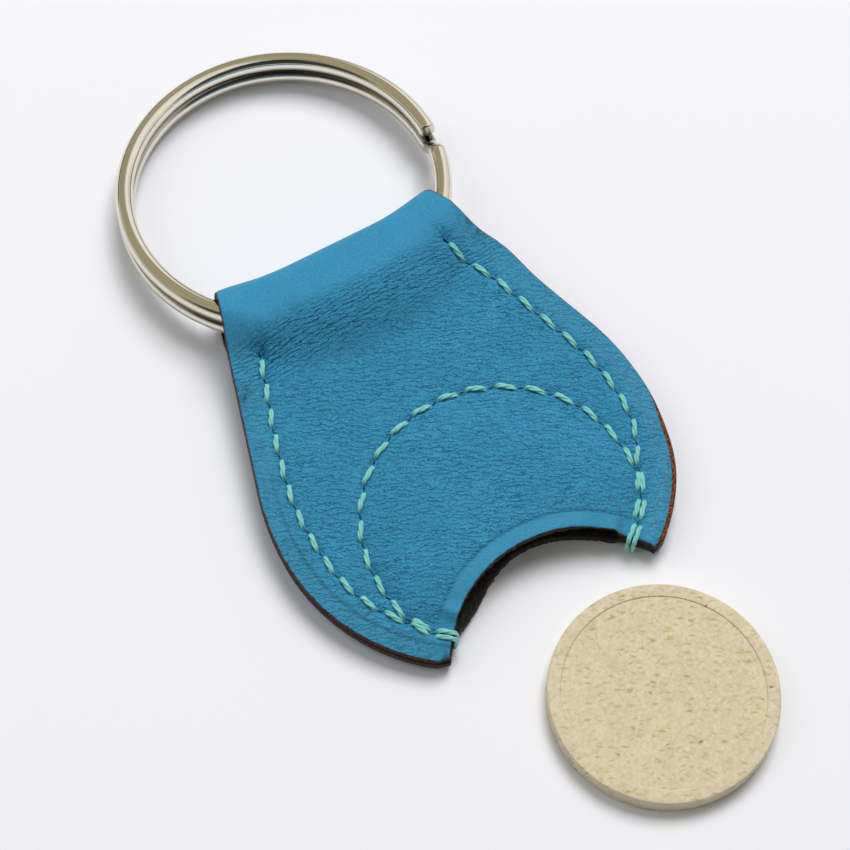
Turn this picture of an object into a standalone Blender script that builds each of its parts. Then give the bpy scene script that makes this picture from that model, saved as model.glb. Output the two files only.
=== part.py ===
"""Trolley coin keyring: a leather strap folded round a split ring and sewn into a coin pocket.

Metres, +Z up. The origin is on the table, under the middle of the coin when it sits in the pocket.
+Y runs up the fob to the ring. The coin is drawn out of the pocket, lying in front of its mouth.
"""

import math

import bmesh
import bpy
from mathutils import Matrix, Vector
from mathutils.bvhtree import BVHTree
from mathutils.geometry import delaunay_2d_cdt

# Coin: a moulded disc with a raised rim on both faces
COIN_DIAMETER = 0.02325
COIN_THICKNESS = 0.0022
COIN_RIM_WIDTH = 0.0013
COIN_RECESS_DEPTH = 0.00012
COIN_EDGE_ROUND = 0.00025
COIN_OUT_X = 0.00458
COIN_OUT_GAP = 0.0015
COIN_CLEARANCE = 0.0002
COIN_PROUD_OF_TIPS = 0.0006
COIN_SEGMENT_COUNT = 56

# Leather strap: outline of the folded fob, seen from above
LEATHER_THICKNESS = 0.0010
TIP_SIDE_EASE = 0.000675
WIDEST_HEIGHT_SHARE = 0.361
SHOULDER_RADIUS = 0.0280
FOLD_WIDTH_SHARE = 0.8183
PANEL_RUN = 0.0123
NOTCH_DEPTH = 0.0069

# Leather strap: how its two panels lie, the front one above the back one
SEWN_GAP = 0.0001
SEWN_LAND = 0.0007
LAY_ANGLE = math.radians(3.43)
BULGE_RUN = 0.0026
FOLD_EAR = 0.0005
EAR_START_SHARE = 0.55
FOLD_OUTSIDE_ROUND_SHARE = 0.72
FOLD_INSIDE_ROUND_SHARE = 0.50

# Split ring: one wire wound twice, with a jog where it climbs from the lower coil to the upper
RING_DIAMETER = 0.0363
WIRE_WIDTH = 0.0019
WIRE_HEIGHT = 0.0020
WIRE_ROUND_SHARE = 0.66
COIL_GAP = 0.00012
RING_CLEARANCE = 0.0003
RING_FOLD_CLEARANCE = 0.00025
RING_TILT = math.radians(4.0)
JOG_ANGLE = math.radians(-10.7)
JOG_HALF_LENGTH = 0.0019
JOG_END_GAP = 0.0003
WIRE_STEP_COUNT = 56
WIRE_SIDE_COUNT = 12

# Stitching: waxed thread through both panels, two edge seams and the arc round the pocket
THREAD_WIDTH = 0.00050
THREAD_HEIGHT = 0.00040
THREAD_LIFT = 0.00008
THREAD_FLOOR_CLEARANCE = 0.00005
HOLE_CLEARANCE = 0.00015
WRAP_SLACK = 0.00030
STRAND_GAP = 0.00012
SEAM_INSET = 0.0032
SEAM_SPACING = 0.00295
SEAM_START_GAP = 0.0019
POCKET_SIDE_EASE = 0.0035
POCKET_END_EASE = 0.0024
EDGE_STITCH_COUNT = 13
SHARED_STITCH_COUNT = 2
POCKET_STITCH_COUNT = 17
LAST_STITCH = 0.0019

# Point spacing of the strap's mesh
OUTLINE_STEP = 0.0018
LATTICE_STEP = 0.0032
CROWDING_SHARE = 0.42
FOLD_ROW_COUNT = 8
STITCH_PIECE_COUNT = 4
CUT_OVERRUN = 0.0010

# Sizes that follow from those above
COIN_RADIUS = COIN_DIAMETER / 2
COIN_SEAT_Z = LEATHER_THICKNESS + COIN_CLEARANCE
POCKET_GAP = COIN_THICKNESS + 2 * COIN_CLEARANCE
POCKET_RADIUS = COIN_RADIUS + POCKET_SIDE_EASE
POCKET_TOP_Y = COIN_RADIUS + POCKET_END_EASE
POCKET_CENTRE_Y = POCKET_TOP_Y - POCKET_RADIUS

RING_RADIUS = RING_DIAMETER / 2
BORE_RADIUS = RING_RADIUS - WIRE_WIDTH
WIRE_RADIUS = RING_RADIUS - WIRE_WIDTH / 2
COIL_RISE = WIRE_HEIGHT + COIL_GAP
RING_HALF_HEIGHT = WIRE_HEIGHT + COIL_GAP / 2
RING_Y = POCKET_TOP_Y + PANEL_RUN + RING_RADIUS
RING_Z = RING_RADIUS * math.sin(RING_TILT) + RING_HALF_HEIGHT * math.cos(RING_TILT)

TIP_Y = COIN_PROUD_OF_TIPS - COIN_RADIUS
TIP_HALF_WIDTH = COIN_RADIUS + TIP_SIDE_EASE
COIN_OUT_Y = TIP_Y - COIN_OUT_GAP - COIN_RADIUS
FOLD_HALF_WIDTH = FOLD_WIDTH_SHARE * BORE_RADIUS
FOLD_TOUCH_Y = RING_Y - math.sqrt(BORE_RADIUS**2 - FOLD_HALF_WIDTH**2)
FOLD_END_Y = FOLD_TOUCH_Y + RING_FOLD_CLEARANCE + LEATHER_THICKNESS - FOLD_EAR
FOLD_HALF_HEIGHT = RING_HALF_HEIGHT + RING_CLEARANCE + LEATHER_THICKNESS
FOLD_CENTRE_Y = FOLD_END_Y - FOLD_HALF_HEIGHT
FOB_LENGTH = FOLD_END_Y - TIP_Y

WIDEST_HALF_WIDTH = POCKET_RADIUS + SEAM_SPACING + SEAM_INSET
WIDEST_ABOVE_TIPS = WIDEST_HEIGHT_SHARE * FOB_LENGTH
WIDEST_Y = TIP_Y + WIDEST_ABOVE_TIPS
HAUNCH_INSET = WIDEST_HALF_WIDTH - TIP_HALF_WIDTH
HAUNCH_RADIUS = (HAUNCH_INSET**2 + WIDEST_ABOVE_TIPS**2) / (2 * HAUNCH_INSET)
SHOULDER_X = WIDEST_HALF_WIDTH - SHOULDER_RADIUS
FOLD_FROM_SHOULDER = math.hypot(FOLD_HALF_WIDTH - SHOULDER_X, FOLD_TOUCH_Y - WIDEST_Y)
FLANK_TAPER = (
    math.atan2(FOLD_TOUCH_Y - WIDEST_Y, FOLD_HALF_WIDTH - SHOULDER_X)
    - math.acos(min(SHOULDER_RADIUS / FOLD_FROM_SHOULDER, 1))
)
SHOULDER_TOP_Y = WIDEST_Y + SHOULDER_RADIUS * math.sin(FLANK_TAPER)
SHOULDER_TOP_X = WIDEST_HALF_WIDTH - SHOULDER_RADIUS * (1 - math.cos(FLANK_TAPER))
NOTCH_RADIUS = (TIP_HALF_WIDTH**2 + NOTCH_DEPTH**2) / (2 * NOTCH_DEPTH)
NOTCH_CENTRE_Y = TIP_Y + NOTCH_DEPTH - NOTCH_RADIUS

STRAND_OFFSET = (THREAD_WIDTH + STRAND_GAP) / 2
DOUBLED_WIDTH = 2 * THREAD_WIDTH + STRAND_GAP
TIP_UNDERSIDE_Z = THREAD_HEIGHT + THREAD_LIFT + THREAD_FLOOR_CLEARANCE
TIP_MID_Z = TIP_UNDERSIDE_Z + LEATHER_THICKNESS + SEWN_GAP / 2


def half_width(y):
    """Half the width of the fob: a straight flank, a shoulder arc, then an arc in to the tip."""
    if y >= SHOULDER_TOP_Y:
        return SHOULDER_TOP_X - (y - SHOULDER_TOP_Y) * math.tan(FLANK_TAPER)
    radius = SHOULDER_RADIUS if y > WIDEST_Y else HAUNCH_RADIUS
    return WIDEST_HALF_WIDTH - radius + math.sqrt(max(radius**2 - (y - WIDEST_Y) ** 2, 0))


def notch_y(x):
    """The thumb notch between the tips, an arc that opens downwards."""
    return NOTCH_CENTRE_Y + math.sqrt(max(NOTCH_RADIUS**2 - x**2, 0))


def seam_start():
    """The seam's first hole, where its straight flank comes this close to the split ring."""
    across, up = math.cos(FLANK_TAPER), math.sin(FLANK_TAPER)
    edge = across * FOLD_HALF_WIDTH + up * FOLD_TOUCH_Y
    past_ring = edge - SEAM_INSET - up * RING_Y
    down = math.sqrt((RING_RADIUS + SEAM_START_GAP) ** 2 - past_ring**2)
    return across * past_ring + up * down, RING_Y + up * past_ring - across * down


def edge_inset(x, y):
    """How far a point lies inside the side edge of the fob."""
    x = abs(x)
    if y >= SHOULDER_TOP_Y:
        return (half_width(y) - x) * math.cos(FLANK_TAPER)
    radius = SHOULDER_RADIUS if y > WIDEST_Y else HAUNCH_RADIUS
    return radius - math.hypot(x - WIDEST_HALF_WIDTH + radius, y - WIDEST_Y)


def smooth(start, end, value):
    """0 at start and 1 at end, with an easy curve between."""
    share = min(max((value - start) / (end - start), 0), 1)
    return share * share * (3 - 2 * share)


def pocket_opening(x, y):
    """1 over the seated coin, falling to 0 at the stitched lines round it."""
    beyond_coin = max(math.hypot(x, y) - COIN_RADIUS - COIN_CLEARANCE, 0)
    to_arc = POCKET_RADIUS - math.hypot(x, y - POCKET_CENTRE_Y)
    to_seam = max(min(to_arc, edge_inset(x, y) - SEAM_INSET) - SEWN_LAND, 0)
    if beyond_coin + to_seam == 0:
        return 0
    return 1 - smooth(0, 1, beyond_coin / (beyond_coin + to_seam))


def loop_opening(x, y):
    """1 beside the split ring, falling to 0 where the panels are sewn flat below it."""
    beyond_ring = math.hypot(x, y - RING_Y) - RING_RADIUS
    return 1 - smooth(RING_CLEARANCE, BULGE_RUN, beyond_ring)


def ring_plane_z(y):
    """Height of the ring's middle plane, which falls away from the fob to the table."""
    return RING_Z - math.tan(RING_TILT) * (y - RING_Y)


def inner_heights(x, y):
    """Heights of the two inner faces of the strap, the front panel's and the back panel's."""
    middle = TIP_MID_Z + math.tan(LAY_ANGLE) * (y - TIP_Y)
    front = middle + SEWN_GAP / 2
    back = middle - SEWN_GAP / 2
    loop = loop_opening(x, y)
    half_loop = RING_HALF_HEIGHT + RING_CLEARANCE
    front += (ring_plane_z(y) + half_loop - front) * loop
    back += (ring_plane_z(y) - half_loop - back) * loop
    pocket = pocket_opening(x, y)
    front += (LEATHER_THICKNESS + POCKET_GAP - front) * pocket
    back += (LEATHER_THICKNESS - back) * pocket
    return front, back


def face_heights(x, y):
    """Heights of the strap's two outer faces, where the thread lies."""
    front, back = inner_heights(x, y)
    return front + LEATHER_THICKNESS, back - LEATHER_THICKNESS


def material(name, colour, roughness, metallic=0.0):
    made = bpy.data.materials.new(name)
    made.use_nodes = True
    shader = made.node_tree.nodes["Principled BSDF"]
    shader.inputs["Base Color"].default_value = (*colour, 1)
    shader.inputs["Roughness"].default_value = roughness
    shader.inputs["Metallic"].default_value = metallic
    return made


def add_object(name, bm, finish, smooth_angle=math.radians(35)):
    """Turn a bmesh into an object with outward faces, smooth but for its sharp edges."""
    bmesh.ops.recalc_face_normals(bm, faces=bm.faces)
    mesh = bpy.data.meshes.new(name)
    bm.to_mesh(mesh)
    bm.free()
    mesh.shade_smooth()
    mesh.set_sharp_from_angle(angle=smooth_angle)
    obj = bpy.data.objects.new(name, mesh)
    bpy.context.scene.collection.objects.link(obj)
    if finish:
        obj.data.materials.append(finish)
    return obj


def add_strip(bm, first, second):
    """Faces between two rows of points of the same length."""
    for a, b, c, d in zip(first, first[1:], second[1:], second):
        bm.faces.new((a, b, c, d))


def add_closed_strip(bm, first, second):
    """Faces between two rings of points."""
    add_strip(bm, [*first, first[0]], [*second, second[0]])


def spread(start, end, step):
    """Values from start to end, about step apart."""
    count = max(1, round(abs(end - start) / step))
    return [start + (end - start) * i / count for i in range(count + 1)]


# Leather strap


def side_points():
    """The right edge of a panel, from the fold down to the tip."""
    flank = [(half_width(y), y) for y in spread(FOLD_CENTRE_Y, SHOULDER_TOP_Y, OUTLINE_STEP)]
    shoulder_x = WIDEST_HALF_WIDTH - SHOULDER_RADIUS
    haunch_x = WIDEST_HALF_WIDTH - HAUNCH_RADIUS
    tip_turn = math.asin(WIDEST_ABOVE_TIPS / HAUNCH_RADIUS)
    points = flank[:-1]
    for turn in spread(FLANK_TAPER, 0, OUTLINE_STEP / SHOULDER_RADIUS)[:-1]:
        points.append(
            (
                shoulder_x + SHOULDER_RADIUS * math.cos(turn),
                WIDEST_Y + SHOULDER_RADIUS * math.sin(turn),
            )
        )
    for turn in spread(0, tip_turn, OUTLINE_STEP / HAUNCH_RADIUS):
        points.append(
            (
                haunch_x + HAUNCH_RADIUS * math.cos(turn),
                WIDEST_Y - HAUNCH_RADIUS * math.sin(turn),
            )
        )
    return points


def panel_outline():
    """One panel's outline, clockwise from the right end of the fold line, and that line's length."""
    right = side_points()
    left = [(-x, y) for x, y in reversed(right)]
    notch = [(x, notch_y(x)) for x in spread(TIP_HALF_WIDTH, -TIP_HALF_WIDTH, OUTLINE_STEP)]
    fold = [(x, FOLD_CENTRE_Y) for x in spread(-right[0][0], right[0][0], OUTLINE_STEP)]
    return right + notch[1:-1] + left + fold[1:-1]


def arc_points(centre_y, radius):
    """Points round a circle centred on the fob's middle line."""
    count = round(2 * math.pi * radius / OUTLINE_STEP)
    turns = [2 * math.pi * i / count for i in range(count)]
    return [(radius * math.sin(turn), centre_y + radius * math.cos(turn)) for turn in turns]


def inner_points():
    """Points inside a panel: closest where the leather changes height, then an even lattice."""
    holes, wrap = edge_runs()
    tip_land = spread(holes[EDGE_STITCH_COUNT - SHARED_STITCH_COUNT], wrap, OUTLINE_STEP)
    points = [beside(seam_point(run), -SEWN_LAND) for run in tip_land]
    points += mirrored(points)
    points += arc_points(POCKET_CENTRE_Y, POCKET_RADIUS - SEWN_LAND)
    for radius in (COIN_RADIUS + COIN_CLEARANCE, COIN_RADIUS + POCKET_END_EASE / 2):
        points += arc_points(0, radius)
    for beyond in spread(RING_CLEARANCE, BULGE_RUN, BULGE_RUN / 3):
        points += arc_points(RING_Y, RING_RADIUS + beyond)
    rows = spread(TIP_Y, FOLD_CENTRE_Y, LATTICE_STEP * math.sin(math.radians(60)))
    for row, y in enumerate(rows):
        shift = LATTICE_STEP / 2 if row % 2 else 0
        columns = range(-math.ceil(WIDEST_HALF_WIDTH / LATTICE_STEP), 1)
        for x in [column * LATTICE_STEP + shift for column in columns]:
            points += [(x, y), (-x, y)]
    return points


def panel_plan():
    """Points and triangles of one panel seen from above, with the points of its outline first."""
    points = panel_outline()
    edges = [(i, (i + 1) % len(points)) for i in range(len(points))]
    crowded = OUTLINE_STEP * CROWDING_SHARE
    for x, y in inner_points():
        inside = edge_inset(x, y) > crowded and y - notch_y(x) > crowded
        if abs(x) > TIP_HALF_WIDTH:
            inside = edge_inset(x, y) > crowded and y > TIP_Y
        if not inside or FOLD_CENTRE_Y - y < crowded:
            continue
        if all(math.hypot(x - px, y - py) > crowded for px, py in points):
            points.append((x, y))
    plan = [Vector(point) for point in points]
    found, _, faces, _, _, _ = delaunay_2d_cdt(plan, edges, [], 1, 0)
    return [(v.x, v.y) for v in found], faces


def fold_chain(x, half_height, round_share):
    """Points round the fold from the front panel to the back one, on its outer or inner face."""
    edge_share = abs(x) / half_width(FOLD_CENTRE_Y)
    reach = half_height + FOLD_EAR * smooth(EAR_START_SHARE, 1, edge_share)
    chain = []
    for row in range(1, FOLD_ROW_COUNT):
        turn = math.pi / 2 - math.pi * row / FOLD_ROW_COUNT
        out = math.cos(turn) ** round_share
        up = math.copysign(abs(math.sin(turn)) ** round_share, turn)
        y = FOLD_CENTRE_Y + reach * out
        narrowed = x * half_width(y) / half_width(FOLD_CENTRE_Y)
        chain.append((narrowed, y, ring_plane_z(y) + half_height * up))
    return chain


def build_strap(finish):
    """The one folded piece of leather: two panels joined by the fold, each with real thickness."""
    plan, triangles = panel_plan()
    bm = bmesh.new()
    layers = {"front_out": [], "front_in": [], "back_in": [], "back_out": []}
    for x, y in plan:
        front, back = inner_heights(x, y)
        heights = (front + LEATHER_THICKNESS, front, back, back - LEATHER_THICKNESS)
        for layer, z in zip(layers.values(), heights):
            layer.append(bm.verts.new((x, y, z)))
    for layer in layers.values():
        for triangle in triangles:
            bm.faces.new([layer[i] for i in triangle])

    uses = {}
    for triangle in triangles:
        for a, b in zip(triangle, [*triangle[1:], triangle[0]]):
            uses.setdefault(frozenset((a, b)), []).append((a, b))
    at_fold = {i for i, (x, y) in enumerate(plan) if abs(y - FOLD_CENTRE_Y) < OUTLINE_STEP / 100}
    for edge in uses.values():
        a, b = edge[0]
        if len(edge) > 1 or {a, b} <= at_fold:
            continue
        for out, within in (("front_out", "front_in"), ("back_out", "back_in")):
            add_strip(bm, [layers[out][a], layers[out][b]], [layers[within][a], layers[within][b]])

    columns = sorted(at_fold, key=lambda i: plan[i][0])
    chains = {"out": [], "in": []}
    faces = (
        ("out", FOLD_HALF_HEIGHT, FOLD_OUTSIDE_ROUND_SHARE),
        ("in", FOLD_HALF_HEIGHT - LEATHER_THICKNESS, FOLD_INSIDE_ROUND_SHARE),
    )
    for i in columns:
        for side, half_height, round_share in faces:
            curve = fold_chain(plan[i][0], half_height, round_share)
            middle = [bm.verts.new(point) for point in curve]
            chains[side].append([layers["front_" + side][i], *middle, layers["back_" + side][i]])
    for side in chains.values():
        for chain, following in zip(side, side[1:]):
            add_strip(bm, chain, following)
    for end in (0, -1):
        add_strip(bm, chains["out"][end], chains["in"][end])
    return add_object("leather_strap", bm, finish)


# Stitching


def seam_point(run):
    """A point of the right edge seam, run metres along it from its first hole, and its heading."""
    start_x, start_y = seam_start()
    shoulder_y = WIDEST_Y + (SHOULDER_RADIUS - SEAM_INSET) * math.sin(FLANK_TAPER)
    flank = (start_y - shoulder_y) / math.cos(FLANK_TAPER)
    if run < flank:
        heading = math.pi / 2 - FLANK_TAPER
        return start_x + run * math.cos(heading), start_y - run * math.sin(heading), heading
    shoulder = (SHOULDER_RADIUS - SEAM_INSET) * FLANK_TAPER
    if run < flank + shoulder:
        radius = SHOULDER_RADIUS
        turn = FLANK_TAPER - (run - flank) / (radius - SEAM_INSET)
    else:
        radius = HAUNCH_RADIUS
        turn = -(run - flank - shoulder) / (radius - SEAM_INSET)
    x = WIDEST_HALF_WIDTH - radius + (radius - SEAM_INSET) * math.cos(turn)
    return x, WIDEST_Y + (radius - SEAM_INSET) * math.sin(turn), math.pi / 2 - turn


def seam_length():
    """Length of the edge seam from its first hole to the notch."""
    low, high = 0, math.pi * WIDEST_HALF_WIDTH
    for _ in range(40):
        middle = (low + high) / 2
        x, y, _ = seam_point(middle)
        low, high = (middle, high) if y > notch_y(x) or abs(x) > TIP_HALF_WIDTH else (low, middle)
    return low


def beside(point, offset):
    """A seam point moved outwards by offset, square to the seam."""
    x, y, heading = point
    return x + offset * math.sin(heading), y + offset * math.cos(heading)


def edge_runs():
    """Where the edge seam's holes lie along it, and where its last stitch turns over the notch."""
    length = seam_length()
    pitch = (length - LAST_STITCH) / EDGE_STITCH_COUNT
    holes = [pitch * i for i in range(EDGE_STITCH_COUNT + 1)]
    return holes, length + THREAD_LIFT + WRAP_SLACK + THREAD_WIDTH / 2


def edge_stations():
    """Right edge thread: plan points and widths of its holes and its turn over the notch edge."""
    holes, wrap = edge_runs()
    shared = EDGE_STITCH_COUNT - SHARED_STITCH_COUNT
    stations = []
    for i, run in enumerate([*holes, wrap]):
        x, y = beside(seam_point(run), STRAND_OFFSET if i == shared else 0)
        stations.append((x, y, DOUBLED_WIDTH if i > shared else THREAD_WIDTH))
    return stations


def pocket_stations():
    """Pocket thread: plan points and widths of its holes, from the right edge seam to the left."""
    holes, _ = edge_runs()
    x, y = beside(seam_point(holes[EDGE_STITCH_COUNT - SHARED_STITCH_COUNT]), -STRAND_OFFSET)
    start = math.atan2(y - POCKET_CENTRE_Y, x)
    stations = [(x, y, THREAD_WIDTH)]
    for i in range(1, POCKET_STITCH_COUNT):
        turn = start + (math.pi - 2 * start) * i / POCKET_STITCH_COUNT
        across = POCKET_RADIUS * math.cos(turn)
        stations.append((across, POCKET_CENTRE_Y + POCKET_RADIUS * math.sin(turn), THREAD_WIDTH))
    return [*stations, (-x, y, THREAD_WIDTH)]


def section(place, z, across):
    """Four corners of the thread's cross-section; across is square to it and half its width."""
    corners = []
    for side, level in ((-1, -1), (1, -1), (1, 1), (-1, 1)):
        corner = place + across * side
        corners.append((corner.x, corner.y, z + level * THREAD_HEIGHT / 2))
    return corners


def laid_heights(strap, place, along, across):
    """Heights of a short length of thread laid on the strap's front and under its back."""
    fronts, backs = [], []
    for forward in (-1, 0, 1):
        for side in (-1, 0, 1):
            spot = place + along * forward + across * side
            above = strap.ray_cast(Vector((spot.x, spot.y, FOB_LENGTH)), Vector((0, 0, -1)))[0]
            below = strap.ray_cast(Vector((spot.x, spot.y, -FOB_LENGTH)), Vector((0, 0, 1)))[0]
            if above and below:
                fronts.append(above.z)
                backs.append(below.z)
    if not fronts:
        front, back = face_heights(place.x, place.y)
        fronts, backs = [front], [back]
    clear = THREAD_LIFT + THREAD_HEIGHT / 2
    return max(fronts) + clear, min(backs) - clear


def build_thread(name, stations, strap, finish):
    """A saddle-stitched thread: a stitch on each face between holes, and a leg through each hole."""
    bm = bmesh.new()
    path = [Vector((x, y, 0)) for x, y, _ in stations]
    widths = [width for _, _, width in stations]
    last = len(path) - 1
    runs = {"upper": [], "lower": []}
    for i, here in enumerate(path):
        along = (path[min(i + 1, last)] - path[max(i - 1, 0)]).normalized() * THREAD_WIDTH / 2
        across = Vector((along.y, -along.x, 0)).normalized() * widths[i] / 2
        upper_z, lower_z = laid_heights(strap, here, along, across)
        knots = []
        for run, z in ((runs["upper"], upper_z), (runs["lower"], lower_z)):
            ends = [section(here - along, z, across), section(here + along, z, across)]
            rows = [[bm.verts.new(point) for point in end] for end in ends]
            run += rows
            knots.append(rows)
        (upper_start, upper_end), (lower_start, lower_end) = knots
        under = [upper_start[0], upper_start[1], upper_end[1], upper_end[0]]
        over = [lower_start[3], lower_start[2], lower_end[2], lower_end[3]]
        add_closed_strip(bm, under, over)
        for side, other in ((0, 3), (1, 2)):
            bm.faces.new((upper_start[side], upper_end[side], upper_end[other], upper_start[other]))
            bm.faces.new((lower_start[side], lower_end[side], lower_end[other], lower_start[other]))
        bm.faces.new((upper_start[3], upper_start[2], upper_end[2], upper_end[3]))
        bm.faces.new((lower_start[0], lower_start[1], lower_end[1], lower_end[0]))
        if i == last:
            break
        stitch = path[i + 1] - here
        forward = stitch.normalized()
        for step in range(1, STITCH_PIECE_COUNT):
            share = step / STITCH_PIECE_COUNT
            width = widths[i] + (widths[i + 1] - widths[i]) * share
            across = Vector((forward.y, -forward.x, 0)) * width / 2
            place = here + stitch * share
            heights = laid_heights(strap, place, stitch / (2 * STITCH_PIECE_COUNT), across)
            for run, z in zip(runs.values(), heights):
                run.append([bm.verts.new(point) for point in section(place, z, across)])
    at_knots = range(0, len(runs["upper"]), STITCH_PIECE_COUNT + 1)
    for run in runs.values():
        for i, (row, following) in enumerate(zip(run, run[1:])):
            if i not in at_knots:
                add_closed_strip(bm, row, following)
        bm.faces.new(run[0])
        bm.faces.new(run[-1])
    return add_object(name, bm, finish)


def mirrored(points):
    return [(-point[0], *point[1:]) for point in points]


def build_hole_cutter():
    """Slots through both panels for the thread's legs, wide where two threads share a hole."""
    holes, _ = edge_runs()
    shared = EDGE_STITCH_COUNT - SHARED_STITCH_COUNT
    slots = []
    for i, run in enumerate(holes):
        x, y, heading = seam_point(run)
        strands = DOUBLED_WIDTH if i >= shared else THREAD_WIDTH
        slots += [(x, y, -heading, strands), (-x, y, math.pi + heading, strands)]
    for x, y, width in pocket_stations()[1:-1]:
        slots.append((x, y, math.atan2(-x, y - POCKET_CENTRE_Y), width))
    bm = bmesh.new()
    bottom = -CUT_OVERRUN
    top = FOLD_HALF_HEIGHT + ring_plane_z(FOLD_CENTRE_Y) + CUT_OVERRUN
    for x, y, turn, strands in slots:
        size = Matrix.Diagonal(
            (THREAD_WIDTH + 2 * HOLE_CLEARANCE, strands + 2 * HOLE_CLEARANCE, top - bottom, 1)
        )
        place = Matrix.Translation((x, y, (top + bottom) / 2)) @ Matrix.Rotation(turn, 4, "Z")
        bmesh.ops.create_cube(bm, size=1, matrix=place @ size)
    cutter = add_object("stitch_hole_cutter", bm, None)
    cutter.hide_render = True
    cutter.display_type = "WIRE"
    return cutter


def cut_stitch_holes(strap):
    cut = strap.modifiers.new("stitch holes", "BOOLEAN")
    cut.operation = "DIFFERENCE"
    cut.solver = "EXACT"
    cut.object = build_hole_cutter()


# Split ring


def wire_section(radius, z, angle):
    """A rounded section of the flat-sided wire, across the ring at one angle."""
    points = []
    for i in range(WIRE_SIDE_COUNT):
        turn = 2 * math.pi * (i + 0.5) / WIRE_SIDE_COUNT
        out = math.copysign(abs(math.cos(turn)) ** WIRE_ROUND_SHARE, math.cos(turn))
        up = math.copysign(abs(math.sin(turn)) ** WIRE_ROUND_SHARE, math.sin(turn))
        across = radius + out * WIRE_WIDTH / 2
        points.append(
            (across * math.cos(angle), across * math.sin(angle), z + up * WIRE_HEIGHT / 2)
        )
    return points


def build_ring(finish):
    """The wire from its lower end, once round, up the jog, and round again to its upper end."""
    jog = JOG_HALF_LENGTH / WIRE_RADIUS
    gap = JOG_END_GAP / WIRE_RADIUS
    step = 2 * math.pi / WIRE_STEP_COUNT
    turns = spread(gap, 2 * math.pi - 2 * jog, step)
    turns += spread(2 * math.pi - 2 * jog, 2 * math.pi, jog / 3)[1:]
    turns += spread(2 * math.pi, 4 * math.pi - 2 * jog - gap, step)[1:]
    bm = bmesh.new()
    rows = []
    for turn in turns:
        climb = smooth(2 * math.pi - 2 * jog, 2 * math.pi, turn)
        z = COIL_RISE * climb - COIL_RISE / 2
        points = wire_section(WIRE_RADIUS, z, JOG_ANGLE - jog - turn)
        rows.append([bm.verts.new(point) for point in points])
    for row, following in zip(rows, rows[1:]):
        add_closed_strip(bm, row, following)
    bm.faces.new(rows[0])
    bm.faces.new(rows[-1])
    ring = add_object("split_ring", bm, finish, math.radians(50))
    ring.location = (0, RING_Y, RING_Z)
    ring.rotation_euler.x = -RING_TILT
    return ring


# Coin


def build_coin(finish):
    """A disc turned about its axis, with a flat recess inside the rim of each face."""
    rim = COIN_RADIUS - COIN_RIM_WIDTH
    slope = COIN_RECESS_DEPTH
    profile = [(rim - slope, COIN_RECESS_DEPTH), (rim, 0), (COIN_RADIUS - COIN_EDGE_ROUND, 0)]
    profile.append((COIN_RADIUS, COIN_EDGE_ROUND))
    profile += [(r, COIN_THICKNESS - z) for r, z in reversed(profile)]
    bm = bmesh.new()
    rings = []
    for radius, z in profile:
        ring = []
        for i in range(COIN_SEGMENT_COUNT):
            turn = 2 * math.pi * i / COIN_SEGMENT_COUNT
            ring.append(bm.verts.new((radius * math.cos(turn), radius * math.sin(turn), z)))
        rings.append(ring)
    for ring, following in zip(rings, rings[1:]):
        add_closed_strip(bm, ring, following)
    bm.faces.new(rings[0])
    bm.faces.new(rings[-1])
    coin = add_object("trolley_coin", bm, finish)
    coin.location = (COIN_OUT_X, COIN_OUT_Y, 0)
    return coin


def main():
    for obj in list(bpy.data.objects):
        bpy.data.objects.remove(obj)
    leather = material("blue leather", (0.040, 0.262, 0.456), 0.55)
    thread = material("mint waxed thread", (0.195, 0.617, 0.447), 0.5)
    nickel = material("polished nickel", (0.78, 0.76, 0.70), 0.12, 1.0)
    bioplastic = material("speckled beige plastic", (0.597, 0.515, 0.342), 0.5)
    strap = build_strap(leather)
    cut_stitch_holes(strap)
    uncut = bmesh.new()
    uncut.from_mesh(strap.data)
    surface = BVHTree.FromBMesh(uncut)
    uncut.free()
    right = edge_stations()
    build_thread("right_edge_thread", right, surface, thread)
    build_thread("left_edge_thread", mirrored(right), surface, thread)
    build_thread("pocket_thread", pocket_stations(), surface, thread)
    build_ring(nickel)
    build_coin(bioplastic)


main()
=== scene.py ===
"""A leather trolley coin keyring: the looks of each piece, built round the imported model.

Sizes are in millimetres, and MM brings them to the frame's metres.
"""

import math
from functools import partial
from types import SimpleNamespace

import bpy
import numpy as np
from mathutils import Matrix, Vector, kdtree, noise


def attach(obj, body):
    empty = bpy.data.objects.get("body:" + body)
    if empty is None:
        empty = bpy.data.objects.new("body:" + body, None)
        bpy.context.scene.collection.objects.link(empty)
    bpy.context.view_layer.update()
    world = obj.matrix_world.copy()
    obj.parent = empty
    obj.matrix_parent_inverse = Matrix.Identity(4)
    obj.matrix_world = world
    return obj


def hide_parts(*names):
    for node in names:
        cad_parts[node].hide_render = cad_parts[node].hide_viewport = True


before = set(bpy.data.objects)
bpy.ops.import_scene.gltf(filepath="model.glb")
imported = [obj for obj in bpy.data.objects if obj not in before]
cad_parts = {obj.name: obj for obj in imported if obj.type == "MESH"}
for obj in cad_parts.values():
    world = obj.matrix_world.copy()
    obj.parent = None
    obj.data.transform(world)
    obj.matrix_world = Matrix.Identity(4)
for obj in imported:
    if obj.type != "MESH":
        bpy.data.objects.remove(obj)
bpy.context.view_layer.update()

MM = 0.001

# Coin
COIN_RADIUS = 11.625
COIN_THICKNESS = 2.2
COIN_RIM = 1.3
COIN_RECESS = 0.12
COIN_CLEARANCE = 0.2
COIN_PAST_TIPS = 0.6
COIN_DRAWN_GAP = 1.5
COIN_PLACE = (4.58, COIN_PAST_TIPS - 2 * COIN_RADIUS - COIN_DRAWN_GAP)

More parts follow.
